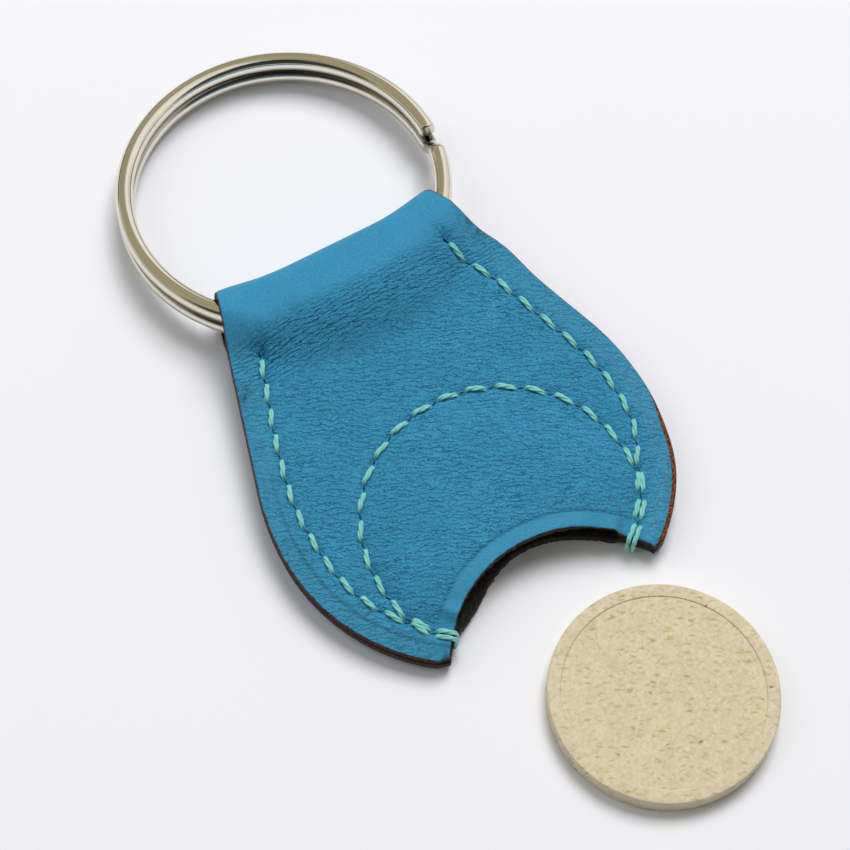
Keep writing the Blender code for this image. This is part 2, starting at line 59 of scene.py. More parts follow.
# Outline of the fob
LEATHER = 1.0
TIP_Y = COIN_PAST_TIPS - COIN_RADIUS
TIP_HALF_WIDTH = COIN_RADIUS + 0.675
WIDEST_HALF_WIDTH = 21.275
WIDEST_SHARE = 0.361
SHOULDER_RADIUS = 28.0
NOTCH_DEPTH = 6.9
SEWN_GAP = 0.1
SEWN_LAND = 0.7
LAY_SLOPE = math.tan(math.radians(3.43))
TIP_MID_Z = 1.58

# Split ring
RING_RADIUS = 18.15
WIRE_WIDTH = 1.9
WIRE_HEIGHT = 2.0
COIL_GAP = 0.12
RING_TILT = math.radians(4.0)
JOG_ANGLE = math.radians(-10.7)
JOG_HALF_LENGTH = 1.4
JOG_END_GAP = 0.15
BORE_RADIUS = RING_RADIUS - WIRE_WIDTH
WIRE_RADIUS = RING_RADIUS - WIRE_WIDTH / 2
RING_HALF_HEIGHT = WIRE_HEIGHT + COIL_GAP / 2
RING_CLEARANCE = 0.3
BULGE_RUN = 2.6
FOLD_EAR = 0.5
FOLD_SLACK = 0.25
FOLD_WIDTH_SHARE = 0.8183
RING_PAST_POCKET = 12.3

# Stitching
SEAM_INSET = 3.2
SEAM_START_GAP = 1.9
EDGE_STITCHES = 13
SEAM_SHIFTS = {1: -0.9, -1: 1.1}
JOINED_STITCHES = {1: 11, -1: 12}
ARC_SHIFT = 0.6
POCKET_STITCHES = 17
LAST_STITCH = 1.9
POCKET_RADIUS = COIN_RADIUS + 3.5
POCKET_TOP_Y = COIN_RADIUS + 2.4
POCKET_CENTRE_Y = POCKET_TOP_Y - POCKET_RADIUS
STRAND_OFFSET = 0.31

# Places that follow
RING_Y = POCKET_TOP_Y + RING_PAST_POCKET + RING_RADIUS
RING_Z = RING_RADIUS * math.sin(RING_TILT) + RING_HALF_HEIGHT * math.cos(RING_TILT)
FOLD_HALF_WIDTH = FOLD_WIDTH_SHARE * BORE_RADIUS
FOLD_TOUCH_Y = RING_Y - math.sqrt(BORE_RADIUS**2 - FOLD_HALF_WIDTH**2)
FOLD_END_Y = FOLD_TOUCH_Y + FOLD_SLACK + LEATHER - FOLD_EAR
FOLD_HALF_HEIGHT = RING_HALF_HEIGHT + RING_CLEARANCE + LEATHER
FOLD_Y = FOLD_END_Y - FOLD_HALF_HEIGHT
WIDEST_Y = TIP_Y + WIDEST_SHARE * (FOLD_END_Y - TIP_Y)
HAUNCH_INSET = WIDEST_HALF_WIDTH - TIP_HALF_WIDTH
HAUNCH_RADIUS = (HAUNCH_INSET**2 + (WIDEST_Y - TIP_Y) ** 2) / (2 * HAUNCH_INSET)
SHOULDER_X = WIDEST_HALF_WIDTH - SHOULDER_RADIUS
FLANK_TAPER = math.atan2(FOLD_TOUCH_Y - WIDEST_Y, FOLD_HALF_WIDTH - SHOULDER_X) - math.acos(
    SHOULDER_RADIUS / math.hypot(FOLD_HALF_WIDTH - SHOULDER_X, FOLD_TOUCH_Y - WIDEST_Y)
)
SHOULDER_TOP_Y = WIDEST_Y + SHOULDER_RADIUS * math.sin(FLANK_TAPER)
SHOULDER_TOP_X = WIDEST_HALF_WIDTH - SHOULDER_RADIUS * (1 - math.cos(FLANK_TAPER))
NOTCH_RADIUS = (TIP_HALF_WIDTH**2 + NOTCH_DEPTH**2) / (2 * NOTCH_DEPTH)
NOTCH_CENTRE_Y = TIP_Y + NOTCH_DEPTH - NOTCH_RADIUS
FOLD_LENGTH = 9.6


def ease(start, end, value):
    """0 at start and 1 at end, with an easy curve between."""
    share = np.clip((value - start) / (end - start), 0, 1)
    return share * share * (3 - 2 * share)


def fade(start, end, value):
    return 1 - ease(start, end, value)


def bell(value, width):
    return np.exp(-((value / width) ** 2))


def between(first, second, share):
    return first + (second - first) * share


def signed_power(value, power):
    return np.sign(value) * np.abs(value) ** power


# Shape of the fob, seen from above


def half_width(y):
    """Half the width of the fob: a straight flank, a shoulder arc, then an arc in to the tip."""
    flank = SHOULDER_TOP_X - (y - SHOULDER_TOP_Y) * math.tan(FLANK_TAPER)
    radius = np.where(y > WIDEST_Y, SHOULDER_RADIUS, HAUNCH_RADIUS)
    arc = WIDEST_HALF_WIDTH - radius
    arc = arc + np.sqrt(np.maximum(radius**2 - (y - WIDEST_Y) ** 2, 0))
    return np.where(y >= SHOULDER_TOP_Y, flank, arc)


def notch_y(x):
    return NOTCH_CENTRE_Y + np.sqrt(np.maximum(NOTCH_RADIUS**2 - x**2, 0))


def edge_inset(x, y):
    """How far a point lies inside the side edge of the fob."""
    x = np.abs(x)
    flank = (half_width(y) - x) * math.cos(FLANK_TAPER)
    radius = np.where(y > WIDEST_Y, SHOULDER_RADIUS, HAUNCH_RADIUS)
    arc = radius - np.hypot(x - WIDEST_HALF_WIDTH + radius, y - WIDEST_Y)
    return np.where(y >= SHOULDER_TOP_Y, flank, arc)


def notch_inset(x, y):
    return np.hypot(x, y - NOTCH_CENTRE_Y) - NOTCH_RADIUS


def pocket_opening(x, y):
    """1 over the seated coin, falling to 0 at the stitched lines round it."""
    beyond_coin = np.maximum(np.hypot(x, y) - COIN_RADIUS - COIN_CLEARANCE, 0)
    to_arc = POCKET_RADIUS - np.hypot(x, y - POCKET_CENTRE_Y)
    to_seam = np.minimum(to_arc, edge_inset(x, y) - SEAM_INSET) - SEWN_LAND
    to_seam = np.maximum(to_seam, 0)
    share = beyond_coin / np.maximum(beyond_coin + to_seam, 1e-9)
    return np.where(beyond_coin + to_seam > 0, fade(0, 1, share), 0)


def loop_opening(x, y):
    """1 beside the split ring, falling to 0 where the panels are sewn flat below it."""
    return fade(RING_CLEARANCE, BULGE_RUN, np.hypot(x, y - RING_Y) - RING_RADIUS)


def soft_loop(x, y):
    """As loop_opening, for the outer face: a long easy slope, short only along the sewn sides."""
    from_ring = np.hypot(x, y - RING_Y) - RING_RADIUS
    firm = fade(-0.6, 4.0, from_ring)
    easy = fade(-2.7, 4.8, from_ring)
    inward = ease(SEAM_INSET - 0.5, SEAM_INSET + 5.0, edge_inset(x, y))
    return between(firm, easy, inward)


def soft_pocket(x, y):
    """As pocket_opening, for the outer face: a low dome that swells from the stitched lines."""
    to_arc = POCKET_RADIUS - np.hypot(x - ARC_SHIFT, y - POCKET_CENTRE_Y)
    inside = np.minimum(to_arc, edge_inset(x, y) - SEAM_INSET)
    return 1 - (1 - np.clip((inside - 0.4) / 6.5, 0, 1)) ** 2


def ring_plane_z(y):
    return RING_Z - math.tan(RING_TILT) * (y - RING_Y)


def sewn_z(y):
    """Height of the middle between the panels, where they are sewn flat."""
    return TIP_MID_Z + LAY_SLOPE * (y - TIP_Y)


def inner_heights(x, y):
    """Heights of the front panel's and the back panel's inner faces."""
    loop, pocket = loop_opening(x, y), pocket_opening(x, y)
    half_loop = RING_HALF_HEIGHT + RING_CLEARANCE
    front = between(sewn_z(y) + SEWN_GAP / 2, ring_plane_z(y) + half_loop, loop)
    back = between(sewn_z(y) - SEWN_GAP / 2, ring_plane_z(y) - half_loop, loop)
    front = between(front, LEATHER + COIN_THICKNESS + 2 * COIN_CLEARANCE, pocket)
    return front, between(back, LEATHER, pocket)


def front_height(x, y):
    """Height of the front panel's outer face, before stitches and creases."""
    top = sewn_z(y) + SEWN_GAP / 2 + LEATHER
    top = between(top, ring_plane_z(y) + FOLD_HALF_HEIGHT, soft_loop(x, y))
    return between(top, 2 * LEATHER + COIN_THICKNESS + 2 * COIN_CLEARANCE, soft_pocket(x, y))


def over_coin(x, y):
    """The lowest that the outer face may lie, to leave room for the seated coin."""
    sewn = sewn_z(y) + SEWN_GAP / 2 + LEATHER - 0.2
    room = LEATHER + COIN_CLEARANCE + COIN_THICKNESS + 0.5
    return between(sewn, room, pocket_opening(x, y))


# Seams


def seam_start():
    """The edge seam's first hole, where its flank comes this close to the split ring."""
    across, up = math.cos(FLANK_TAPER), math.sin(FLANK_TAPER)
    edge = across * FOLD_HALF_WIDTH + up * FOLD_TOUCH_Y
    past_ring = edge - SEAM_INSET - up * RING_Y
    down = math.sqrt((RING_RADIUS + SEAM_START_GAP) ** 2 - past_ring**2)
    return across * past_ring + up * down, RING_Y + up * past_ring - across * down


def seam_point(run):
    """A point of the right edge seam, so far along it from its first hole, and its heading."""
    start_x, start_y = seam_start()
    shoulder_y = WIDEST_Y + (SHOULDER_RADIUS - SEAM_INSET) * math.sin(FLANK_TAPER)
    flank = (start_y - shoulder_y) / math.cos(FLANK_TAPER)
    if run < flank:
        heading = math.pi / 2 - FLANK_TAPER
        return start_x + run * math.cos(heading), start_y - run * math.sin(heading), heading
    shoulder = (SHOULDER_RADIUS - SEAM_INSET) * FLANK_TAPER
    if run < flank + shoulder:
        radius = SHOULDER_RADIUS
        turn = FLANK_TAPER - (run - flank) / (radius - SEAM_INSET)
    else:
        radius = HAUNCH_RADIUS
        turn = -(run - flank - shoulder) / (radius - SEAM_INSET)
    x = WIDEST_HALF_WIDTH - radius + (radius - SEAM_INSET) * math.cos(turn)
    return x, WIDEST_Y + (radius - SEAM_INSET) * math.sin(turn), math.pi / 2 - turn


def seam_length():
    low, high = 0, math.pi * WIDEST_HALF_WIDTH
    for _ in range(40):
        middle = (low + high) / 2
        x, y, _ = seam_point(middle)
        inside = y > notch_y(x) or abs(x) > TIP_HALF_WIDTH
        low, high = (middle, high) if inside else (low, middle)
    return low


SEAM_LENGTH = seam_length()
EDGE_PITCH = (SEAM_LENGTH - LAST_STITCH) / EDGE_STITCHES


def beside(run, offset):
    x, y, heading = seam_point(run)
    return x + offset * math.sin(heading), y + offset * math.cos(heading)


def seam_stray(side, run):
    """How far a hand-sewn edge seam strays outward from its even line."""
    at_tip = 0.45 * float(ease(36.0, 39.5, run))
    if side > 0:
        return at_tip - 0.9 * (1 - float(ease(-1.0, 6.0, run))) - 0.5 * bell(run - 31.5, 2.6)
    return at_tip + 0.33 * bell(run - 11.0, 6.0) - 0.25 * bell(run - 24.0, 4.5)


def edge_point(side, stitch, offset=0.0):
    """A point of the right or left edge seam, counted in stitches from the hole by the ring."""
    run = SEAM_SHIFTS[side] * (1 - stitch / EDGE_STITCHES) + EDGE_PITCH * stitch
    x, y = beside(run, offset + seam_stray(side, run))
    return side * x, y


def notch_reach(side, offset):
    """Stitches from the last hole to just past the notch's edge, along one strand."""
    reach = 0.3
    while notch_inset(*edge_point(side, EDGE_STITCHES + reach, offset)) > -0.25:
        reach += 0.02
    return reach


def arc_end(side):
    """Bearing and radius of the pocket arc where it meets an edge seam."""
    x, y = edge_point(side, JOINED_STITCHES[side], -STRAND_OFFSET)
    out_x, out_y = x - ARC_SHIFT, y - POCKET_CENTRE_Y
    return math.atan2(out_y, out_x) + (0 if side > 0 else 2 * math.pi), math.hypot(out_x, out_y)


ARC_START, START_RADIUS = arc_end(1)
ARC_STOP, STOP_RADIUS = arc_end(-1)


def pocket_point(stitch):
    """A point of the pocket arc, counted in stitches from the right edge seam."""
    turn = ARC_START + (ARC_STOP - ARC_START) * stitch / POCKET_STITCHES
    radius = POCKET_RADIUS
    radius += (START_RADIUS - POCKET_RADIUS) * (1 - float(ease(0, 3.5, stitch)))
    radius += (STOP_RADIUS - POCKET_RADIUS) * (1 - float(ease(0, 3.5, POCKET_STITCHES - stitch)))
    return ARC_SHIFT + radius * math.cos(turn), POCKET_CENTRE_Y + radius * math.sin(turn)


class SeamMap:
    """The nearest seam to a point of a panel: how far along from its hole, and how far beside."""

    def __init__(self, steps=24):
        self.rows = []
        right, left = partial(edge_point, 1), partial(edge_point, -1)
        seams = ((right, EDGE_STITCHES), (left, EDGE_STITCHES), (pocket_point, POCKET_STITCHES))
        for plan, stitches in seams:
            self.add([(plan(i / steps), i / steps) for i in range(stitches * steps + 1)])
        self.tree = kdtree.KDTree(len(self.rows))
        for i, row in enumerate(self.rows):
            self.tree.insert((row[0], row[1], 0), i)
        self.tree.balance()

    def add(self, samples):
        for i, ((x, y), stitch) in enumerate(samples):
            (ax, ay), first = samples[max(i - 1, 0)]
            (bx, by), last = samples[min(i + 1, len(samples) - 1)]
            length = math.hypot(bx - ax, by - ay)
            pitch = length / (last - first)
            self.rows.append((x, y, (bx - ax) / length, (by - ay) / length, stitch, pitch))

    def read(self, xs, ys):
        along, across = np.empty(len(xs)), np.empty(len(xs))
        for i, (x, y) in enumerate(zip(xs, ys)):
            _, index, _ = self.tree.find((x, y, 0))
            sx, sy, tx, ty, stitch, pitch = self.rows[index]
            along[i] = (x - sx) * tx + (y - sy) * ty + (stitch - round(stitch)) * pitch
            across[i] = (x - sx) * ty - (y - sy) * tx
        return along, across


seam_map = SeamMap()


# Faces of the leather

SEAM_GROOVE = 0.09
SEAM_RIDGE = 0.05
HOLE_PUCKER = 0.20
HOLE_DEPTH = 0.24
FIRST_HOLE_DEPTH = 0.35
NOTCH_PRESS = 0.11
RIM_PRESS = 0.12
WRINKLE_DEPTH = 0.075
LEAST_WALL = 0.45
FOLD_DRAWN_IN = 0.65
FOLD_END_CUT = 0.75
OUTER_ROUNDNESS = 0.8
INNER_ROUNDNESS = 0.5
CORNER_REACH = 0.8
CORNER_LIFT = 0.45
CORNER_CUT = 0.35
# Dark scuffs: place, width and strength
SCUFFS = ((14.6, 29.5, 1.8, 0.75), (-15.6, 24.2, 1.3, 0.9))


def rolling(x, y, size, seed):
    """Smooth noise from -1 to 1 at every point of a panel."""
    return np.array([noise.noise((a / size, b / size, seed)) for a, b in zip(x, y)])


def first_hole_reach(x, y):
    """Distance to the nearer first hole of the two edge seams, and the bearing from it."""
    (right_x, right_y), (left_x, left_y) = edge_point(1, 0), edge_point(-1, 0)
    dx = np.where(x > 0, x - right_x, left_x - x)
    dy = y - np.where(x > 0, right_y, left_y)
    return np.hypot(dx, dy), np.arctan2(dy, dx)


def belt(y):
    """1 along the wrinkled belt between the two first holes, 0 away from it."""
    return ease(22.6, 25.6, y) * fade(27.4, 30.2, y)


def front_relief(x, y, along, across):
    """What stitching, pressed lines and creases add to the front face."""
    relief = -SEAM_GROOVE * bell(across, 0.45)
    relief += SEAM_RIDGE * bell(np.abs(across) - 0.95, 0.45)
    relief -= HOLE_PUCKER * bell(along, 0.55) * bell(across, 0.42)
    notch = notch_inset(x, y)
    middle = fade(9.5, 11.5, np.abs(x))
    relief -= NOTCH_PRESS * fade(1.35, 1.95, notch) * middle
    relief -= SEAM_RIDGE * bell(notch - 1.8, 0.3) * middle
    edge = edge_inset(x, y)
    low = fade(4, 13, y)
    left = fade(-4, 4, x)
    relief -= RIM_PRESS * fade(1.2, 1.9, edge) * low * left
    relief -= (0.30 - 0.15 * left) * fade(0.0, 1.0, edge) * low
    relief += 0.05 * rolling(x, y, 6.0, 5.0)
    reach, bearing = first_hole_reach(x, y)
    relief -= FIRST_HOLE_DEPTH * bell(reach, 1.1)
    rays = np.cos(11 * bearing + 2.0 * rolling(x, y, 1.5, 8.0))
    relief += 0.05 * rays * ease(0.3, 0.9, reach) * bell(reach, 2.4)
    return relief


def wrinkles(x, y):
    """Furrows of the belt, long and wavy, side by side along the fold."""
    strength = belt(y)
    depth = np.zeros(len(x))
    for i in np.nonzero(strength > 0.02)[0]:
        sway = 0.5 * noise.noise((x[i] / 2.6, y[i] / 1.6, 3.0))
        line = abs(noise.noise((x[i] / 4.2, (y[i] + sway) / 0.62, 11.0)))
        small = abs(noise.noise((x[i] / 2.0, (y[i] + sway) / 0.40, 17.0)))
        depth[i] = math.exp(-((line / 0.11) ** 2)) + 0.6 * math.exp(-((small / 0.12) ** 2))
    patches = 0.75 + 0.5 * rolling(x, y, 3.5, 21.0)
    return -WRINKLE_DEPTH * depth * strength * patches


def slit(along, across):
    """1 in the slanted slit of each hole, falling to 0 round it."""
    long = along * 0.96 - across * 0.28
    wide = along * 0.28 + across * 0.96
    return fade(0.18, 0.40, np.abs(long)) * fade(0.03, 0.14, np.abs(wide))


def back_relief(x, y, along, across):
    """The back stitches press the back panel in; positive is up, into the leather."""
    relief = 0.09 * bell(across, 0.42) + 0.16 * bell(along, 0.42) * bell(across, 0.40)
    return relief * (1 - pocket_opening(x, y))


def fold_point(x, share, half_height, roundness):
    """Place on the loop, from the front panel at share 0 to the back panel at share 1."""
    edge_share = np.abs(x) / half_width(FOLD_Y)
    reach = half_height + FOLD_EAR * ease(0.55, 1, edge_share)
    reach = reach - FOLD_DRAWN_IN * fade(0.35, 0.90, edge_share)
    reach = reach - FOLD_END_CUT * ease(0.90, 1.0, edge_share)
    turn = math.pi / 2 - math.pi * share
    out = np.maximum(np.cos(turn), 0) ** roundness
    up = signed_power(np.sin(turn), roundness)
    y = FOLD_Y + reach * out
    return y, ring_plane_z(y) + half_height * up


def hand_cut(y):
    """How much wider the right half is cut: full by the flank and low down, scant by the fold."""
    upper = 0.034 * bell(y - 26.3, 3.4) - 0.045 * ease(29.0, 35.0, y)
    return upper + 0.022 * fade(-6.0, 2.0, y)


def back_shift(x):
    """How far the back panel's notch edge lies off the front one's: below it at the left."""
    return -1.15 * bell(x + 7.0, 3.6) + 0.60 * bell(x - 3.0, 5.0)


# Meshes


def read_points(piece):
    points = np.empty(len(piece.data.vertices) * 3)
    piece.data.vertices.foreach_get("co", points)
    return points.reshape(-1, 3)


def write_points(piece, points):
    piece.data.vertices.foreach_set("co", points.astype(np.float32).ravel())
    piece.data.update()


def store(piece, name, values):
    """Keeps a number or a vector at every vertex, for the material to read."""
    values = np.asarray(values, np.float32)
    kind = "FLOAT" if values.ndim == 1 else "FLOAT_VECTOR"
    layer = piece.data.attributes.new(name, kind, "POINT")
    field = "value" if values.ndim == 1 else "vector"
    layer.data.foreach_set(field, values.ravel())


def deselect():
    if bpy.context.object and bpy.context.object.mode != "OBJECT":
        mode("OBJECT")
    bpy.ops.object.select_all(action="DESELECT")


def add_object(name, data):
    made = bpy.data.objects.new(name, data)
    bpy.context.scene.collection.objects.link(made)
    return made


def named(name):
    piece = bpy.context.object
    piece.name = name
    piece.data.name = name
    return piece


def mode(kind):
    bpy.ops.object.mode_set(mode=kind)


def edit_all():
    mode("EDIT")
    bpy.ops.mesh.select_all(action="SELECT")


def pick(piece, domain, chosen):
    """Selects only the chosen faces or edges of a piece, and leaves it in edit mode."""
    mode("EDIT")
    bpy.ops.mesh.select_mode(type=domain)
    bpy.ops.mesh.select_all(action="DESELECT")
    mode("OBJECT")
    elements = piece.data.polygons if domain == "FACE" else piece.data.edges
    elements.foreach_set("select", [bool(one) for one in chosen])
    mode("EDIT")


def round_edges(piece, chosen, width, segments):
    pick(piece, "EDGE", chosen)
    bpy.ops.mesh.bevel(offset=width * MM, segments=segments, profile=0.5, affect="EDGES")
    mode("OBJECT")


def apply_modifier(piece, kind, **settings):
    modifier = piece.modifiers.new(kind.lower(), kind)
    for key, value in settings.items():
        setattr(modifier, key, value)
    bpy.ops.object.modifier_apply(modifier=modifier.name)


# Leather strap

BELT_CUTS = 2
HOLE_CUTS = 3
HOLE_SURROUND = 0.62
RIM_ROUND = 0.19
FAR = 9.0
COLUMNS = 112
FRONT_ROWS = 122
FOLD_ROWS = 24
BACK_ROWS = 62
STRAP_ROWS = FRONT_ROWS + FOLD_ROWS + BACK_ROWS


def rough_cut(share, on_back):
    """How far the knife strayed along each panel's notch edge, more so at the tips."""
    x = share * TIP_HALF_WIDTH
    rough = 0.16 * rolling(x, 5.0 * on_back, 0.45, 31.0)
    rough += 0.10 * rolling(x, 9.0 * on_back, 0.2, 33.0)
    return rough * (1 + 1.2 * ease(0.93, 1, np.abs(share)))


def cut_corners(x, y):
    """Moves the points by the corners of the tips, which are cut a little."""
    near = bell(np.hypot(np.abs(x) - TIP_HALF_WIDTH, y - TIP_Y), CORNER_REACH)
    return x - CORNER_CUT * np.sign(x) * near, y + CORNER_LIFT * near


def lay_out_strap(piece):
    """Gives the grid the flat strap's outline: front panel, loop and back panel in one length."""
    points = read_points(piece)
    share = 2 * points[:, 0]
    row = (points[:, 1] + 0.5) * STRAP_ROWS
    on_back = row > FRONT_ROWS + FOLD_ROWS - 0.5
    in_fold = (row > FRONT_ROWS + 0.5) & ~on_back
    fold_share = np.clip((row - FRONT_ROWS) / FOLD_ROWS, 0, 1)
    panel_share = np.where(on_back, (STRAP_ROWS - row) / BACK_ROWS, row / FRONT_ROWS).clip(0, 1)
    line_y = TIP_Y + panel_share * (FOLD_Y - TIP_Y)
    tip_x = share * TIP_HALF_WIDTH
    lift = notch_y(tip_x) - TIP_Y + np.where(on_back, back_shift(tip_x), 0)
    rough = rough_cut(share, on_back) * fade(0, 0.05, panel_share)
    y = line_y + lift * (1 - panel_share) ** 2 + rough
    fold_x = share * half_width(FOLD_Y)
    fold_y, _ = fold_point(fold_x, fold_share, FOLD_HALF_HEIGHT, OUTER_ROUNDNESS)
    x = share * np.where(in_fold, half_width(fold_y), half_width(line_y))
    x *= 1 + (share > 0) * hand_cut(np.where(in_fold, fold_y, line_y))
    x, y = cut_corners(x, y)
    length = np.where(on_back, FOLD_LENGTH + FOLD_Y - y, y - FOLD_Y)
    length = np.where(in_fold, FOLD_LENGTH * fold_share, length)
    write_points(piece, np.column_stack([x, length, np.zeros(len(x))]) * MM)


def cut_finer(piece, choose, cuts):
    """Cuts the front panel's outer faces finer where choose says so, by place."""
    centres = np.empty(len(piece.data.polygons) * 3)
    piece.data.polygons.foreach_get("center", centres)
    x, length, height = (centres.reshape(-1, 3) / MM).T
    outer = (length < 0) & (height > -LEATHER / 10)
    pick(piece, "FACE", choose(x, FOLD_Y + length) & outer)
    bpy.ops.mesh.subdivide(number_cuts=cuts)
    mode("OBJECT")


def in_belt(x, y):
    return (belt(y) > 0.05) & (edge_inset(x, np.minimum(y, FOLD_Y)) > 1.2)


def by_hole(x, y):
    along, across = seam_map.read(x, y)
    return (np.abs(along) < HOLE_SURROUND) & (np.abs(across) < HOLE_SURROUND)


def round_rim(piece):
    """Rounds the two arrises all along the strap's cut edge."""
    heights = read_points(piece)[:, 2]
    uses = {}
    for polygon in piece.data.polygons:
        for key in polygon.edge_keys:
            uses.setdefault(key, []).append(abs(polygon.normal.z) < 0.5)
    chosen = []
    for edge in piece.data.edges:
        a, b = edge.vertices
        kinds = uses[edge.key]
        chosen.append(abs(heights[a] - heights[b]) < 1e-6 and any(kinds) and not all(kinds))
    round_edges(piece, chosen, RIM_ROUND, 3)


def flat_places(piece):
    """Each point of the flat strap: its place on its panel, its depth and its nearest stitch."""
    x, length, height = (read_points(piece) / MM).T
    on_back = length > FOLD_LENGTH
    in_fold = (length > 0) & ~on_back
    on_front = ~(on_back | in_fold)
    y = np.where(on_back, FOLD_Y - (length - FOLD_LENGTH), FOLD_Y + np.minimum(length, 0))
    along, across = seam_map.read(x, y)
    return SimpleNamespace(
        x=x,
        y=y,
        length=length,
        depth=np.clip(-height / LEATHER, 0, 1),
        on_front=on_front,
        in_fold=in_fold,
        on_back=on_back,
        along=along,
        across=across,
        hole=np.where(on_front, slit(along, across), 0),
    )


def panel_heights(at):
    """Height of each point of the two panels, between their outer and inner faces."""
    front, back = inner_heights(at.x, at.y)
    relief = front_relief(at.x, at.y, at.along, at.across) * ease(0, 2.5, FOLD_Y - at.y)
    relief += np.where(at.on_front, wrinkles(at.x, at.y), 0) - HOLE_DEPTH * at.hole
    top = np.maximum(front_height(at.x, at.y) + relief, over_coin(at.x, at.y))
    bottom = back - LEATHER + back_relief(at.x, at.y, at.along, at.across)
    inner = np.minimum(front, top - LEAST_WALL)
    return np.where(at.on_back, between(bottom, back, at.depth), between(top, inner, at.depth))


def keep_places(piece, at, y):
    """Keeps for the material where each point lay in the flat strap, and what it is near to."""
    x = at.x
    side = edge_inset(x / (1 + (x > 0) * hand_cut(y)), np.minimum(y, FOLD_END_Y))
    tip = np.hypot(np.abs(x) - TIP_HALF_WIDTH, y - TIP_Y)
    reach, _ = first_hole_reach(x, y)
    scuffs = sum(s * bell(np.hypot(x - at_x, y - at_y), w) for at_x, at_y, w, s in SCUFFS)
    folds = np.maximum(belt(y), 0.8 * bell(reach, 1.8))
    store(piece, "strap", np.column_stack([x, at.length, at.depth]))
    store(piece, "depth", at.depth)
    store(piece, "side_inset", side)
    store(piece, "notch_inset", np.where(at.in_fold, FAR, notch_inset(x, y).clip(0, FAR)))
    store(piece, "hole", at.hole)
    store(piece, "belt", np.where(at.on_front, folds, 0))
    store(piece, "calm", np.where(at.in_fold, 1, np.where(at.on_back, 0, ease(27.0, 31.5, y))))
    store(piece, "scuff", np.where(at.in_fold, 0, np.maximum(scuffs, bell(tip, 1.3))))


def fold_strap(piece):
    """Folds the flat strap round the ring."""
    at = flat_places(piece)
    share = np.clip(at.length / FOLD_LENGTH, 0, 1)
    outer_y, outer_z = fold_point(at.x, share, FOLD_HALF_HEIGHT, OUTER_ROUNDNESS)
    inner_y, inner_z = fold_point(at.x, share, FOLD_HALF_HEIGHT - LEATHER, INNER_ROUNDNESS)
    y = np.where(at.in_fold, between(outer_y, inner_y, at.depth), at.y)
    z = np.where(at.in_fold, between(outer_z, inner_z, at.depth), panel_heights(at))
    write_points(piece, np.column_stack([at.x, y, z]) * MM)
    keep_places(piece, at, y)


def make_strap():
    deselect()
    bpy.ops.mesh.primitive_grid_add(x_subdivisions=COLUMNS, y_subdivisions=STRAP_ROWS, size=1)
    piece = named("fob_leather")
    lay_out_strap(piece)
    apply_modifier(piece, "SOLIDIFY", thickness=LEATHER * MM, offset=-1)
    cut_finer(piece, in_belt, BELT_CUTS)
    cut_finer(piece, by_hole, HOLE_CUTS)
    round_rim(piece)
    fold_strap(piece)
    bpy.ops.object.shade_smooth()
    return piece


# Thread

STITCH_SWAY = 0.17
STITCH_RISE = 0.15
STITCH_CROWN = 0.08
STITCH_SHARES = (0.0, 0.06, 0.11, 0.16, 0.22, 0.30, 0.40, 0.5, 0.60, 0.70, 0.78, 0.84, 0.89, 0.94)
WRAP_RISE = 0.2
WRAP_SWELL = 0.9
WRAP_SHARES = (0.0, 0.15, 0.3, 0.5, 0.7, 0.86, 0.95)
PLIES = 3
PLY_SIDES = 7
PLY_RADIUS = 0.150
PLY_ORBIT = 0.125
ORBIT_WIDE = 1.15
ORBIT_TALL = 0.8
TWIST_LENGTH = 3.4
PATH_STEP = 0.17


def height_at(surface, x, y):
    """Height of the front or back face at one point, with its seam groove."""
    xs, ys, far = np.array([x]), np.array([y]), np.array([FAR])
    if surface == "front":
        return float(front_height(xs, ys)[0] + front_relief(xs, ys, far, far * 0)[0])
    return float(inner_heights(xs, ys)[1][0] - LEATHER + back_relief(xs, ys, far, far * 0)[0])


def stitch_run(plan, start, surface):
    """Points of one stitch on one face: a low arch that dives into the hole at both ends."""
    points = []
    for share in STITCH_SHARES:
        near_end = min(share, 1 - share)
        x, y = plan(start + share)
        ax, ay = plan(start + share + 0.02)
        bx, by = plan(start + share - 0.02)
        length = math.hypot(ax - bx, ay - by)
        sway = STITCH_SWAY * math.cos(math.pi * share)
        x, y = x - (ay - by) / length * sway, y + (ax - bx) / length * sway
        dive = float(fade(0.07, 0.27, near_end)) ** 1.2
        rise = STITCH_RISE + STITCH_CROWN * math.sin(math.pi * share) - dive
        swell = 0.60 + 0.46 * math.sin(math.pi * share)
        outward = 1 if surface == "front" else -1
        points.append((x, y, height_at(surface, x, y) + outward * rise, swell))
    return points


def seam_line(plan, first, count, starts_in_front, wrap=None):
    """One line of a saddle stitch: its stitches lie in front and behind by turns."""
    points = []
    in_front = starts_in_front
    for i in range(count):
        points += stitch_run(plan, first + i, "front" if in_front else "back")
        in_front = not in_front
    if wrap:
        points += wrap_over(plan, first + count, wrap, in_front)
    return points


